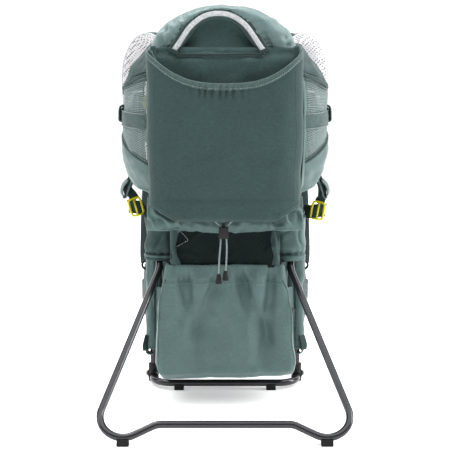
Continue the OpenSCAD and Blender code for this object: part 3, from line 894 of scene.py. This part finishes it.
def cabin_sides():
    out = [ring_x() + RING, 0, 0]
    for side, name in SIDES:
        seed = 60 + side * 5
        side_patch("cabin_shoulder_" + name, side, 41, window_top, lambda a: 650 + 0 * a, 3.0, "dark_fabric",
                   rough=1.3, seed=seed, replaces=["side_shoulder_" + name])
        net("cabin_net_" + name, side, ["side_window_" + name])
        side_patch("cabin_wing_" + name, side, 41, wing_bottom, window_bottom, 4.0, "satin_fabric", lift=1.0,
                   rough=0.9, seed=seed + 2, replaces=["side_wing_" + name])
        a = np.linspace(REAR, FRONT, 60)
        top, bottom, foot = window_top(a), window_bottom(a), wing_bottom(a)
        for label, height, lift, radius, slot in (
                ("top_tape", top - 1, 1.5, 2.1, "dark_fabric"),
                ("top_tape_low", top - 7, 1.2, 1.6, "binding_tape"),
                ("top_fold", top + 8, 1.0, 1.2, "dark_fabric"),
                ("bottom_tape", bottom + 1, 1.6, 2.2, "dark_fabric"),
                ("bottom_tape_high", bottom + 6, 1.0, 1.2, "binding_tape"),
                ("wing_hem", foot + 1, 0.5, 2.2, "satin_fabric")):
            line = side_point(side, a, height, lift)
            piping("cabin_%s_%s" % (label, name), line, radius, slot, 6, sides=6)
        lines = [side_point(side, a, z, lift)
                 for z, lift in ((top + 4, 2.6), (bottom - 4, 3.6), (foot + 6, 3.2))]
        stitches("cabin_stitches_" + name, lines, radius=0.35)
        # Band across the window, with its lighter edges and the loop that stands out from it
        side_patch("window_band_" + name, side, 9, lambda a: 507 + 0 * a, lambda a: 533 + 0 * a, 1.6,
                   "binding_tape", lift=1.6, rough=0.6, seed=seed + 4,
                   replaces=["window_bands"] if side < 0 else [])
        for z in (507, 533):
            line = side_point(side, a, z + 0 * a, 2.6)
            piping("window_band_edge_%d_%s" % (z, name), line, 0.9, "cord_braid", 6, sides=6)
        for label, loop, width in (("", WINDOW_LOOP, 18), ("lining_", WINDOW_LOOP_LINING, 17)):
            ribbon("window_loop_" + label + name, mirrored(np.array(loop) + out, side), width, 3.4, (0, 1, 0),
                   "webbing", 2.5)
        for label, a, low, high, radius, slot in (("rear", REAR, 395, 602, 1.4, "satin_fabric"),
                                                  ("front", FRONT, 400, 575, 2.2, "binding_tape")):
            edge = side_point(side, np.full(30, float(a)), np.linspace(low, high, 30), 0.5)
            piping("cabin_%s_edge_%s" % (label, name), edge, radius, slot, 6)
        # Padding that can be made out behind the net
        a, v = grid(33, 25, (-12, 44))
        p = side_point(side, a, 470 + 84 * v, -14 - 3 * np.cos(a / 20) - 8 * np.abs(v - 0.5) ** 2)
        p[..., 2] += 6 * np.sin(a / 13)
        thick = 3 + 9 * np.sin(math.pi * np.clip((a + 12) / 56, 0.02, 0.98)) * swell(v, 0.03)
        cloth("side_cushion_" + name, p, thick, "dark_fabric")
    join = [(136, -50, 404), (137, -60, 430), (139, -60, 470), (140, -58, 520), (139, -56, 570),
            (136, -56, 600)]
    ribbon("cabin_join_right", join, 14, 2.0, (0.3, 1, 0), "satin_fabric")


# ---- Middle of the rear: band, mesh and leg sleeves ----

def leg_sleeve(side, name):
    """The sleeve around the stand's leg: a soft closed loop, gathered above its elastic hem."""
    levels = np.linspace(0, 1, 40)
    rows = []
    for v in levels:
        z = 341 - 77 * v
        snug = 1 - 0.12 * math.exp(-((z - 275) / 4.5) ** 2) + 0.05 * math.exp(-((z - 289) / 8) ** 2)
        snug -= 0.06 * v
        rows.append((28 * snug, 38 - 60 * snug, 38 + 60 * snug, 18, z))
    p, out = loop_wall(rows, 140)
    p[..., 0] += 117
    z = p[..., 2]
    turn = np.arange(140)[:, None] / 140 * 2 * math.pi
    hem = np.exp(-((z - 277) / 6) ** 2)
    lift = 1.9 * np.sin(turn * 27 + 2 * np.sin(turn * 5)) * hem + 1.4 * rumple(p * [1, 1, 0.5], 32, 75 + side)
    lift = lift - 4.0 * creases(p * [1, 1, 0.35], 36, 77 + side) * np.clip((z - 282) / 16, 0, 1)
    p = mirrored(p + out * lift[..., None], side)
    cloth("sleeve_" + name, p, 2.0, "satin_fabric", closed=True, back="dark_fabric",
          replaces=["leg_sleeve_" + name])
    piping("sleeve_hem_" + name, p[::2, -4], 2.6, "satin_fabric", 5, closed=True, sides=6)


def middle():
    x, v = grid(91, 13, (-91, 91))
    p = stack(x, -54.0 - 3.0 * np.sin(math.pi * v), 323.5 + 21 * v - 2.0 * np.cos(x / 30))
    p[..., 1] += 1.6 * rumple(p, 34, 71) + 0.6 * rumple(p, 14, 72)
    cloth("middle_band", p, 2.6, "satin_fabric", replaces=["band_panel"])
    stitches("middle_band_stitches", [p[4:-4:4, 1] - [0, 1.8, 0]])
    x, v = grid(91, 37, (-91, 91))
    p = stack(x, -50.0, 251 + 73 * v)
    p[..., 1] += 1.6 * rumple(p * [1, 1, 0.7], 60, 73) - 2.4 * creases(p * [0.7, 1, 1.2], 60, 74)
    # The mesh's near-black colour holds painted shade of the hollow under the seat as well as its own dark
    # colour
    mesh = cloth("back_mesh", p, 2.0, "dark_mesh", replaces=["mesh_panel"])
    zig = [(-87, -55.5, 323), (-80, -55.6, 324), (-74, -55.6, 319), (-66, -55.6, 309), (-72, -55.6, 305),
           (-80, -55.4, 300), (-88, -55, 296)]
    stitches("mesh_bar_tacks", [zig], pitch=3.0, share=0.4, radius=0.6, mats=[PALE_THREAD])
    for side, name in SIDES:
        # Dark cloth gathered along the mesh's edge
        u, v = grid(33, 49)
        inner = 85 + 3.0 * np.sin(5 * v + side) - 4 * np.clip(1 - 4 * v, 0, 1)
        q = stack(inner + (97 - inner) * u, -54 - 3.5 * np.sin(math.pi * u), 264 + 62 * v)
        slack = q * [1, 1, 0.4]
        q[..., 1] -= 5.0 * creases(slack, 26, 89 + side) - 1.2 * rumple(slack, 14, 91 + side)
        cloth("mesh_edge_" + name, mirrored(q, side), 2.2, "dark_fabric")
        leg_sleeve(side, name)
        # Dark gusset between the sleeve and the mesh, in near-black webbing: its own dark cloth, darkened
        # further as painted shade in the gap there
        u, v = grid(17, 33)
        q = stack(87 + 7 * u + 3 * np.sin(6 * v), -52 + 30 * u, 250 + 80 * v)
        q[..., 1] += 1.5 * rumple(q, 22, 79 + side)
        cloth("sleeve_gusset_" + name, mirrored(q, side), 2.4, "webbing")


# ---- Lower bag ----

BAG_SIDE = [(57, 117), (80, 125), (130, 122.5), (185, 117.5), (215, 111), (250, 108)]


def bag_half(z):
    return np.interp(z, [p[0] for p in BAG_SIDE], [p[1] for p in BAG_SIDE])


# Folds that fan out from the bag's hem: where each starts, its lean, its half-width and its depth
FOLDS = [(-96, 0.3, 8, 7.0), (-70, 0.22, 8, -8.0), (-42, -0.35, 9, 7.0), (-12, -0.5, 8, -8.5),
         (6, 0.36, 7, 6.0), (26, 0.55, 7, -10.0), (58, -0.2, 9, 9.0), (80, -0.1, 6, -10.0), (99, -0.08, 6, 6.0)]


def lower_bag():
    levels = np.linspace(0, 1, 76)
    rows = []
    for v in levels:
        z = 57 + 193 * v
        rear = np.interp(z, [57, 70, 125, 190, 250], [-54, -67, -67, -61, -56])
        corner = np.interp(z, [57, 70, 250], [16, 12, 9])
        rows.append((bag_half(z), rear, np.interp(z, [57, 70], [88, 94]), corner, z))
    p, out = loop_wall(rows, 300)
    v = np.broadcast_to(levels, p.shape[:2])
    down = 1 - v
    rear = smoothstep((-out[..., 1] - 0.3) / 0.5)
    p[..., 2] += rear * (13 * v**3 - 2 * down**4 + 4 * p[..., 0] / 120 * down**3)
    x, y, z = np.moveaxis(p.copy(), -1, 0)
    fan = 0.0
    fade = (0.5 + 0.65 * v) * (1 - 0.75 * smoothstep((v - 0.88) / 0.1))
    for foot, lean, wide, deep in FOLDS:
        way = x - foot - lean * 150 * down
        broad = (wide + 17 * down) * np.where(way * lean > 0, 0.6, 1.5)
        fan = fan + deep * np.exp(-(way / broad) ** 2) * fade
    gathers = 1.1 * np.exp(-((z - 238) / 6) ** 2) + 1.3 * np.exp(-((z - 262) / 5) ** 2)
    tucks = np.sin(x * 0.78 + 1.6 * np.sin(x * 0.11)) * gathers
    lift = rear * (fan + tucks - 1.8 * np.exp(-((z - 236) / 2.5) ** 2)) + 1.6 * rumple(p, 85, 81)
    lift = lift + 0.6 * rumple(p, 30, 82) - 1.3 * creases(p * [0.8, 1, 0.6], 80, 83) * (1 - 0.5 * v)
    lift = lift + 4.0 * np.sin(math.pi * np.clip(down * 1.15, 0, 1)) * rear
    lift = lift - 2.5 * np.exp(-(down - 1.02) ** 2 / 0.0006)
    # The zip's way and the folded stand's legs stay clear of the cloth
    by_zip = smoothstep((20 - np.abs(y + 30)) / 8) * smoothstep((x - 60) / 20)
    lift = lift * (1 - by_zip) - 1.6 * by_zip
    by_legs = smoothstep((y - 12) / 24) * smoothstep((z - 168) / 26)
    lift = lift * (1 - 0.7 * by_legs) - 1.0 * by_legs
    p = p + out * lift[..., None]
    p[..., 0] *= 1 - 0.04 * by_legs
    cloth("bag_body", p, 2.2, "satin_fabric", closed=True, replaces=["lower_bag"])
    for name, row, sag in (("bag_floor", p[::4, 1], 0), ("bag_lid", p[::4, -6], -14)):
        centre = row.mean(axis=0)
        t = np.linspace(0.03, 1, 12)[None, :, None]
        disc = centre + (row[:, None] - centre) * t * 0.985
        disc[..., 2] += sag * (1 - t[..., 0] ** 2) + 0.8 * rumple(disc, 50, 85)
        cloth(name, disc, 1.8, "dark_fabric", closed=True)
    hem = np.array([q for q in p[:, -12] if q[1] < 0])
    hem = hem[np.argsort(hem[:, 0])]
    stitches("bag_hem_stitches", [hem[6:-6:3] - [0, 1.6, 0]], radius=0.35)
    for side, name in SIDES:
        bag_side(p, side, name)


def bag_side(p, side, name):
    """The seam down one side of the bag, the gusset above it and the cloth that ties it to the upright."""
    spots = np.array([q for q in p.reshape(-1, 3) if q[0] * side > 80 and q[1] < -20])
    seam = [max(spots[np.abs(spots[:, 2] - z) < 4], key=lambda q: q[0] * side - q[1])
            for z in range(240, 62, -20)]
    seam = np.array(seam) + [side * 0.6, -0.6, 0]
    piping("bag_seam_" + name, seam, 1.6, "satin_fabric", 5)
    stitches("bag_seam_stitches_" + name, [seam - [side * 4.5, 1.6, 0]], radius=0.35)
    u, v = grid(11, 41)
    q = stack(100 + 14 * u - 2 * (1 - v), -40 + 30 * u - 4 * np.sin(math.pi * v), 196 + 66 * v)
    q[..., 1] += 1.2 * rumple(q, 24, 87 + side)
    cloth("bag_gusset_" + name, mirrored(q, side), 2.0, "dark_fabric")
    z = 70 + 118 * v
    q = stack((bag_half(z) - 5) * (1 - u) + (133 - 3 * v) * u, 82 + 17 * u, z)
    cloth("bag_tie_" + name, mirrored(q, side), 1.8, "satin_fabric")


def upright_sleeves():
    """Cloth sleeves that hide the frame's uprights beside the bag, with a strap end at each foot."""
    tab = [(147, 100, 92), (150, 97, 82), (152, 97, 72), (151, 99, 64)]
    fold = [(151, 99, 66), (148, 101, 58), (142, 104, 56)]
    for side, name in SIDES:
        turn, v = grid(49, 61, (0, 2 * math.pi * 48 / 49))
        c, s = np.cos(turn), np.sin(turn)
        wide = 11.4 + 0.9 * np.sin(v * 9) + 1.6 * np.clip((0.12 - v) / 0.12, 0, 1)
        x = 139.5 + wide * np.sign(c) * np.abs(c) ** 0.8
        p = stack(x, 110 + 11.5 * np.sign(s) * np.abs(s) ** 0.9, 66 + 204 * v)
        lift = 0.7 * rumple(p, 34, 151 + side) - 1.4 * creases(p * [1, 1, 0.5], 40, 153 + side)
        p = mirrored(p + stack(c, s, 0) * lift[..., None], side)
        cloth("upright_sleeve_" + name, p, 1.8, "satin_fabric", closed=True)
        piping("upright_sleeve_hem_" + name, p[::2, 1], 1.8, "binding_tape", 5, closed=True, sides=6)
        seam = mirrored(stack(135.5, 97.8, np.linspace(68, 268, 24)), side)
        piping("upright_sleeve_seam_" + name, seam, 0.9, "binding_tape", 6, sides=6)
        ribbon("upright_tab_" + name, mirrored(tab, side), 13, 2.2, (0.8, 0.5, 0), "webbing", 3)
        ribbon("upright_tab_fold_" + name, mirrored(fold, side), 12, 2.2, (0.4, 1, 0), "satin_fabric", 3)


ZIP_TEETH = 40


def zip_parts():
    refined("zip_track", "zip_tape", 0.3, 2)
    lo, hi = box("zip_track")
    foot, rise = np.array([hi[0], -30, lo[2]]), np.array([lo[0] - hi[0], 0, hi[2] - lo[2]])
    teeth = []
    for i in range(ZIP_TEETH):
        c = foot + rise * (i + 0.5) / ZIP_TEETH + [0.2, 1.1 if i % 2 else -1.1, 0]
        teeth.append(tube_parts([c + [0.3, -1.4, 0], c + [0.9, 0, 0], c + [0.3, 1.4, 0]], 0.75, 6))
    many("zip_teeth", teeth, "zip_metal")
    refined("zip_slider", "zip_metal", 0.5, 3, "zip_slider")
    refined("zip_pull", "zip_metal", 0.4, 3, "zip_pull")


# ---- Straps, buckles and rings at the cabin's sides ----

def loop_path(width, height, power=0.4, count=36):
    a = np.linspace(0, 2 * math.pi, count, endpoint=False)
    c, s = np.cos(a), np.sin(a)
    return stack(width / 2 * np.sign(c) * np.abs(c) ** power, 0, height / 2 * np.sign(s) * np.abs(s) ** power)


def turned(u, v, angle):
    c, s = math.cos(angle), math.sin(angle)
    return u * c - v * s, u * s + v * c


def ladder_buckle(side, name):
    lo, hi = box("side_buckle_" + name)
    centre = (lo + hi) / 2
    lean = math.radians(16 if side < 0 else 10)
    parts = []
    for path, radius, closed in ((loop_path(23, 33, 0.45), 2.3, True),
                                 ([(0.6, 1.2, -14), (0.6, 2.0, 0), (0.6, 1.2, 14)], 1.9, False),
                                 ([(-9, 0.6, -15.6), (0, 1.2, -16), (9, 0.6, -15.6)], 2.4, False)):
        verts, faces = tube_parts(path, radius, 10, closed)
        x, y, z = verts.T
        x, z = turned(x, z, -lean)
        x, y = turned(x, y, math.radians(14))
        parts.append((stack(centre[0] + side * x, centre[1] - y, centre[2] + z), faces))
    many("ladder_buckle_" + name, parts, "yellow_plastic", replaces=["side_buckle_" + name])
    # The webbing through the buckle and its free end, with places given from the buckle's middle
    c = centre * [side, 1, 1]
    by_buckle = [(-13, 8, -4), (-6, 0.5, -1), (4, -0.5, 0), (11, 3, 1), (14, 6, 0), (11, 9, -1), (-6, 10, -3)]
    web = [(148, 104, 334), (150, 92, 336), *(c + by_buckle)]
    ribbon("buckle_web_" + name, mirrored(web, side), 23, 2.2, (side * 0.2, 0, 1), "webbing", 2.0)
    by_buckle = [(1, 6, 12), (4, 1, 18), (7, -3, 24)]
    tail = [*(c + by_buckle), (180, 60, 384), (175, 56, 398), (170, 52, 410)]
    ribbon("buckle_tail_" + name, mirrored(tail, side), 16, 2.0, (side * 0.8, -0.6, 0), "webbing", 2.5,
           replaces=["side_straps"] if side < 0 else [])
    fold = [(168, 48, 408), (175, 50, 396), (181, 54, 380), (184, 57, 371), (188, 58, 369), (191, 57, 376),
            (189, 54, 388), (183, 50, 397), (177, 47, 402)]
    ribbon("strap_fold_" + name, mirrored(fold, side), 18, 2.4, (side * 0.25, 1, 0), "satin_fabric", 2.0)


def side_hardware():
    for side, name in SIDES:
        ladder_buckle(side, name)
    refined("side_strap_locks", "black_plastic", 1.4, 3)
    # A short prong of the adjuster under the right buckle and the yellow tag behind the left net
    prong = [(150, 100, 322), (154, 98, 316), (157, 97, 309)]
    many("adjuster_prong", [tube_parts(prong, [3.6, 3.0, 1.6], 10)], "black_plastic")
    tag = [(-143, -30, 561), (-139, -34, 556), (-143, -36, 550), (-139, -34, 545), (-142, -32, 540)]
    ribbon("yellow_tag", tag, 6, 1.4, (1, 0.4, 0), "yellow_plastic", 2)


# ---- Inside the cabin and the wearer-facing front ----

def pillow(name, lo, hi, slot, body="frame", puff=0.0, seed=0, rows=33, columns=120, **rest):
    """A crowned cushion that fills the box from lo to hi, with its seam around its middle."""
    lo, hi = np.asarray(lo, float), np.asarray(hi, float)
    t = np.linspace(-math.pi / 2, math.pi / 2, rows)[None, :]
    thin = int(np.argmin(hi - lo))
    wide = [i for i in range(3) if i != thin]
    half = (hi - lo) / 2
    a, b = half[wide]
    ring, _ = rounded_loop(a, -b, b, 0.4 * min(a, b), columns)
    p = np.zeros((columns, rows, 3))
    for i in (0, 1):
        p[..., wide[i]] = ring[:, i, None] * np.cos(t) ** 0.45
    face = np.sign(np.sin(t))
    p[..., thin] = half[thin] * face * np.abs(np.sin(t)) ** 0.75 * (1 + puff * np.cos(t) ** 2)
    p = p + (lo + hi) / 2
    bumpy = 0.8 * rumple(p, 42, seed) + 0.3 * rumple(p, 18, seed + 1)
    p[..., thin] += bumpy * face * np.clip(np.cos(t) * 3, 0, 1)
    o = make(name, p.reshape(-1, 3), quads(columns, rows, True, False), slot, body, **rest)
    return o, p[:, rows // 2]


HARNESS_ROUTE = [(34, -56, 596), (38, -50, 570), (42, -45, 530), (40, -43, 470), (28, -44, 440),
                 (17, -46, 420)]


def cockpit():
    lo, hi = box("child_seat")
    seat, seam = pillow("seat_cushion", lo, hi, "dark_fabric", "child_seat", replaces=["child_seat"],
                        seed=101)
    piping("seat_piping", seam[::2], 1.8, "binding_tape", 5, closed=True, body="child_seat")
    for side, name in SIDES:
        x = side * 28
        line = [(x, -34, hi[2] + 0.4), (x, 10, hi[2] + 1.4), (x, 66, hi[2] - 0.6)]
        stitches("seat_channel_" + name, [line], body="child_seat")
        route = mirrored(HARNESS_ROUTE, side)
        hip = mirrored([(14, -46, 406), (50, -50, 392), (84, -54, 380)], side)
        ribbon("harness_pad_" + name, route[:4], 32, 7, (1, 0, 0), "dark_mesh", crown=1.5,
               replaces=["child_harness"] if side < 0 else [])
        ribbon("harness_web_" + name, route + [0, 4.6, 0], 18, 1.8, (1, 0, 0), "webbing")
        ribbon("harness_hip_web_" + name, hip, 18, 1.8, (0, 0, 1), "webbing")
    refined("harness_buckle", "black_plastic", 2.4, 4)
    ribbon("crotch_web", [(0, -46, 400), (0, -43, 385), (0, -38, 372)], 22, 2.0, (1, 0, 0), "webbing")
    front_of_cabin()


# ---- Wearer's side ----

def front_of_cabin():
    x, v = grid(97, 41, (-1, 1))
    half = np.interp(v, [0, 0.08, 0.65, 0.92, 1], [122, 127, 130, 120, 108])
    p = stack(half * x, 91 + 2 * x**2, 479 + 123 * v)
    puff = 4 + 12 * np.sqrt(swell(v, 0.004)) * np.clip(1 - x**10, 0.02, 1)
    puff = puff * (1 - 0.35 * np.exp(-((v - 0.5) / 0.03) ** 2))
    p[..., 1] += 0.8 * rumple(p, 40, 111)
    pad = cloth("front_cushion", p, puff, "satin_fabric", back="satin_fabric", replaces=["front_pad"])
    piping("front_cushion_piping", border(p)[::2], 2.2, "binding_tape", 5, closed=True)
    x, v = grid(81, 61, (-1, 1))
    z = 300 + 178 * v
    half = np.interp(z, [300, 352, 362, 478], [91, 91, 124, 125])
    p = stack(half * x, 95 + 1.5 * np.cos(x * 1.5), z)
    p[..., 1] += 0.9 * rumple(p, 60, 113) - 1.6 * creases(p, 80, 114)
    cloth("front_cloth", p, 3.0, "dark_fabric", replaces=["front_panel"])
    edge = [(124, 95, 478), (124.5, 95, 420), (124, 95, 364), (108, 95, 356), (92, 95, 350), (91, 95, 302)]
    for side, name in SIDES:
        piping("front_cloth_edge_" + name, mirrored(edge, side), 2.2, "binding_tape", 5)


def back_pads():
    x, v = grid(101, 141, (-1, 1))
    z = 56 + 514 * v
    half = np.interp(z, [56, 70, 90, 420, 560, 570], [112, 124, 128, 127, 105, 100])
    p = stack(half * x, 132, z)
    thick = 5 + 10 * np.clip(1 - np.abs(x) ** 12, 0, 1) * np.clip(swell(v, 0.01) * 4, 0.1, 1)
    for groove in (-0.36, 0.36):
        thick = thick - 6 * np.exp(-((x - groove) / 0.025) ** 2)
    for groove in (0.34, 0.62, 0.84):
        thick = thick - 5 * np.exp(-((v - groove) / 0.008) ** 2)
    p[..., 1] += 0.9 * rumple(p, 70, 121)
    panel = cloth("back_cushion", p, thick, "dark_fabric", replaces=["back_panel"])
    piping("back_cushion_piping", border(p)[::3], 2.6, "binding_tape", 6, closed=True)
    for side, name in SIDES:
        for part, low, high in (("low", 238, 340), ("high", 350, 496)):
            label = "%s_%s" % (part, name)
            ends = np.sort(mirrored([(18, 138, low), (86, 152, high)], side), axis=0)
            pad, seam = pillow("back_pad_" + label, *ends, "pad_mesh", seed=123 + low, rows=25, columns=72)
            piping("back_pad_piping_" + label, seam[::2], 1.8, "dark_fabric", 5, closed=True, sides=6)
    pad, seam = pillow("lumbar_cushion", *box("lumbar_pad"), "pad_mesh", puff=0.08, replaces=["lumbar_pad"],
                       seed=131)
    piping("lumbar_piping", seam[::2], 2.2, "dark_fabric", 5, closed=True)


HIP_WEB = [(148, 196, 148), (157, 212, 149), (166, 240, 150), (165, 256, 150), (156, 264, 150),
           (140, 267, 150), (90, 268, 150), (36, 269, 150)]
HIP_WEB_FOLD = [(36, 271.5, 150), (80, 271.4, 150), (112, 270.4, 150)]
HIP_PULL = [(121, 150, 66), (126, 152, 58), (129, 158, 50), (128, 164, 45)]
HIP_SEAM = [(140, 166, 74), (147, 180, 96), (150, 186, 130), (148, 180, 190)]


def hip_belt():
    for side, name in SIDES:
        # a is the angle about an upright axis beside the wearer's hip
        a, v = grid(61, 41, (-43, -1))
        low = np.interp(a, [-43, -30, -12, -4, -1], [60, 56, 84, 104, 122])
        high = np.interp(a, [-43, -30, -12, -4, -1], [230, 234, 212, 200, 184])
        z = low + v * (high - low)
        r = 150 + 0.8 * rumple(stack(a * 3, 0, z), 45, 133 + side)
        p = mirrored(stack(8 + r * np.cos(np.radians(a)), 252 + r * np.sin(np.radians(a)), z), side)
        ends = 1 - (2 * (a + 43) / 42 - 1) ** 8
        thick = 3 + 13 * np.sqrt(swell(v, 0.004)) * np.clip(ends, 0.02, 1)
        thick = thick - 4 * np.exp(-((v - 0.5) / 0.02) ** 2) * np.clip(ends, 0, 1)
        order = slice(None, None, side)
        fin = cloth("hip_fin_" + name, p[order], thick[order], "dark_fabric", back="pad_mesh",
                    replaces=["hip_wing_" + name])
        piping("hip_fin_piping_" + name, border(p)[::2], 2.4, "binding_tape", 5, closed=True)
        ribbon("hip_web_" + name, mirrored(HIP_WEB, side), 36, 2.2, (0, 0, 1), "webbing",
               replaces=["hip_webbing"] if side < 0 else [])
        ribbon("hip_web_fold_" + name, mirrored(HIP_WEB_FOLD, side), 34, 1.8, (0, 0, 1), "webbing")
        ribbon("hip_pull_" + name, mirrored(HIP_PULL, side), 16, 2.0, (0.5, 1, 0), "webbing")
        piping("hip_fin_seam_" + name, mirrored(HIP_SEAM, side), 1.2, "satin_fabric")
    refined("hip_buckle", "black_plastic", 3.0, 4)
    for x, name in ((-20, "left"), (16, "right")):
        rib = [(x, 273.8, 134), (x, 274.6, 150), (x, 273.8, 166)]
        ribbon("hip_buckle_rib_" + name, rib, 5, 1.6, (1, 0, 0), "black_plastic")


def wearer_side():
    back_pads()
    hip_belt()


SHOULDER_ROUTE = [(46, 152, 572), (54, 154, 604), (76, 167, 638), (108, 192, 653), (142, 213, 642),
                  (165, 226, 608), (171, 231, 562), (168, 230, 500), (159, 226, 440), (148, 218, 384)]


STRAP_TAIL = [(148, 218, 392), (149, 212, 366), (151, 202, 334), (152, 184, 290), (152, 158, 244),
              (150, 146, 226)]
LOAD_LIFTER = [(106, 191, 664), (99, 176, 663), (91, 156, 660), (80, 130, 650)]
CHEST_WEB = [(-172, 241, 470), (-120, 242, 470), (-60, 243, 469), (0, 243, 469), (60, 243, 469),
             (120, 242, 470), (172, 241, 470)]


def linked_strap(name, side, points, width, start, end, **rest):
    """A strap between the frame and the harness, baked in place and tied to no body."""
    o = ribbon(name, mirrored(points, side), width, 2.0, (1, 0, 0), "webbing", body=None, **rest)
    start, end = mirrored([start, end], side) * MM
    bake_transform(o)


def shoulder_harness():
    yoke, seam = pillow("yoke_pad", *box("shoulder_yoke"), "dark_fabric", "harness",
                        replaces=["shoulder_yoke"], seed=141, rows=21)
    piping("yoke_piping", seam[::2], 1.6, "binding_tape", 5, closed=True, body="harness")
    ribbon("yoke_web", [(0, 151, 516), (0, 151.5, 540), (0, 151, 570)], 30, 2.0, (1, 0, 0), "webbing",
           body="harness")
    for side, name in SIDES:
        path = curve(mirrored(SHOULDER_ROUTE, side), 4.0)
        n = len(path)
        t = np.linspace(0, 1, n)
        wide = np.interp(t, [0, 0.12, 0.4, 0.85, 0.96, 1], [44, 56, 60, 52, 42, 30])
        g = ribbon_grid(path, wide, (side, 0, 0), 19, 2.5)
        s = np.linspace(-1, 1, 19)[None, :]
        thick = 4 + 9.5 * np.clip(1 - s**6, 0.03, 1) * np.clip(swell(t, 0.01) * 5, 0.15, 1)[:, None]
        thick = thick - 3.5 * np.exp(-((np.abs(s) - 0.8) / 0.05) ** 2)
        order = slice(None, None, -side)
        pad = cloth("shoulder_pad_" + name, g[:, order], thick[:, order], "dark_fabric", back="pad_mesh",
                    body="harness", replaces=["shoulder_strap_" + name])
        piping("shoulder_piping_" + name, border(g), 2.3, "light_tape", 6, closed=True, sides=6,
               body="harness")
        # Webbing along the face of the pad that is turned away from the wearer
        part = slice(int(n * 0.3), int(n * 0.97))
        off = frames(path, (1, 0, 0))[2][part] * 8.6
        if (path[part] + off)[len(off) // 2][1] < path[n // 2][1]:
            off = -off
        ribbon("shoulder_web_" + name, path[part] + off, 20, 1.8, (1, 0, 0), "webbing", body="harness")
        linked_strap("strap_tail_" + name, side, STRAP_TAIL, 24, (152, 158, 244), (148, 216, 382),
                     replaces=["strap_webbing"] if side < 0 else [])
        linked_strap("load_lifter_" + name, side, LOAD_LIFTER, 17, (80, 130, 650), (104, 187, 662))
        spot = np.array([side * 148, 221, 388])
        adjuster = [tube_parts(loop_path(30, 22) + spot, 2.6, 8, True),
                    tube_parts(spot + [(-13, 1, 0), (0, 2, 0), (13, 1, 0)], 2.2)]
        many("strap_adjuster_" + name, adjuster, "black_plastic", body="harness")
        ring = loop_path(24, 16) * [1, 1, 0.4] + [side * 104, 190, 667]
        many("lifter_buckle_" + name, [tube_parts(ring, 2.0, 8, True)], "black_plastic", body="harness")
        ring = loop_path(24, 26) + [side * 164, 243.5, 470]
        many("chest_slider_" + name, [tube_parts(ring, 2.2, 8, True)], "black_plastic", body="chest_strap")
    ribbon("chest_web", CHEST_WEB, 20, 2.0, (0, 0, 1), "webbing", body="chest_strap",
           replaces=["chest_strap"])
    refined("chest_buckle", "black_plastic", 2.6, 4, "chest_strap")


camera()
stage()
cords()
hard_parts()
rear_pocket()
rear_panel()
headrest()
cabin_sides()
middle()
lower_bag()
upright_sleeves()
zip_parts()
side_hardware()
cockpit()
wearer_side()
shoulder_harness()
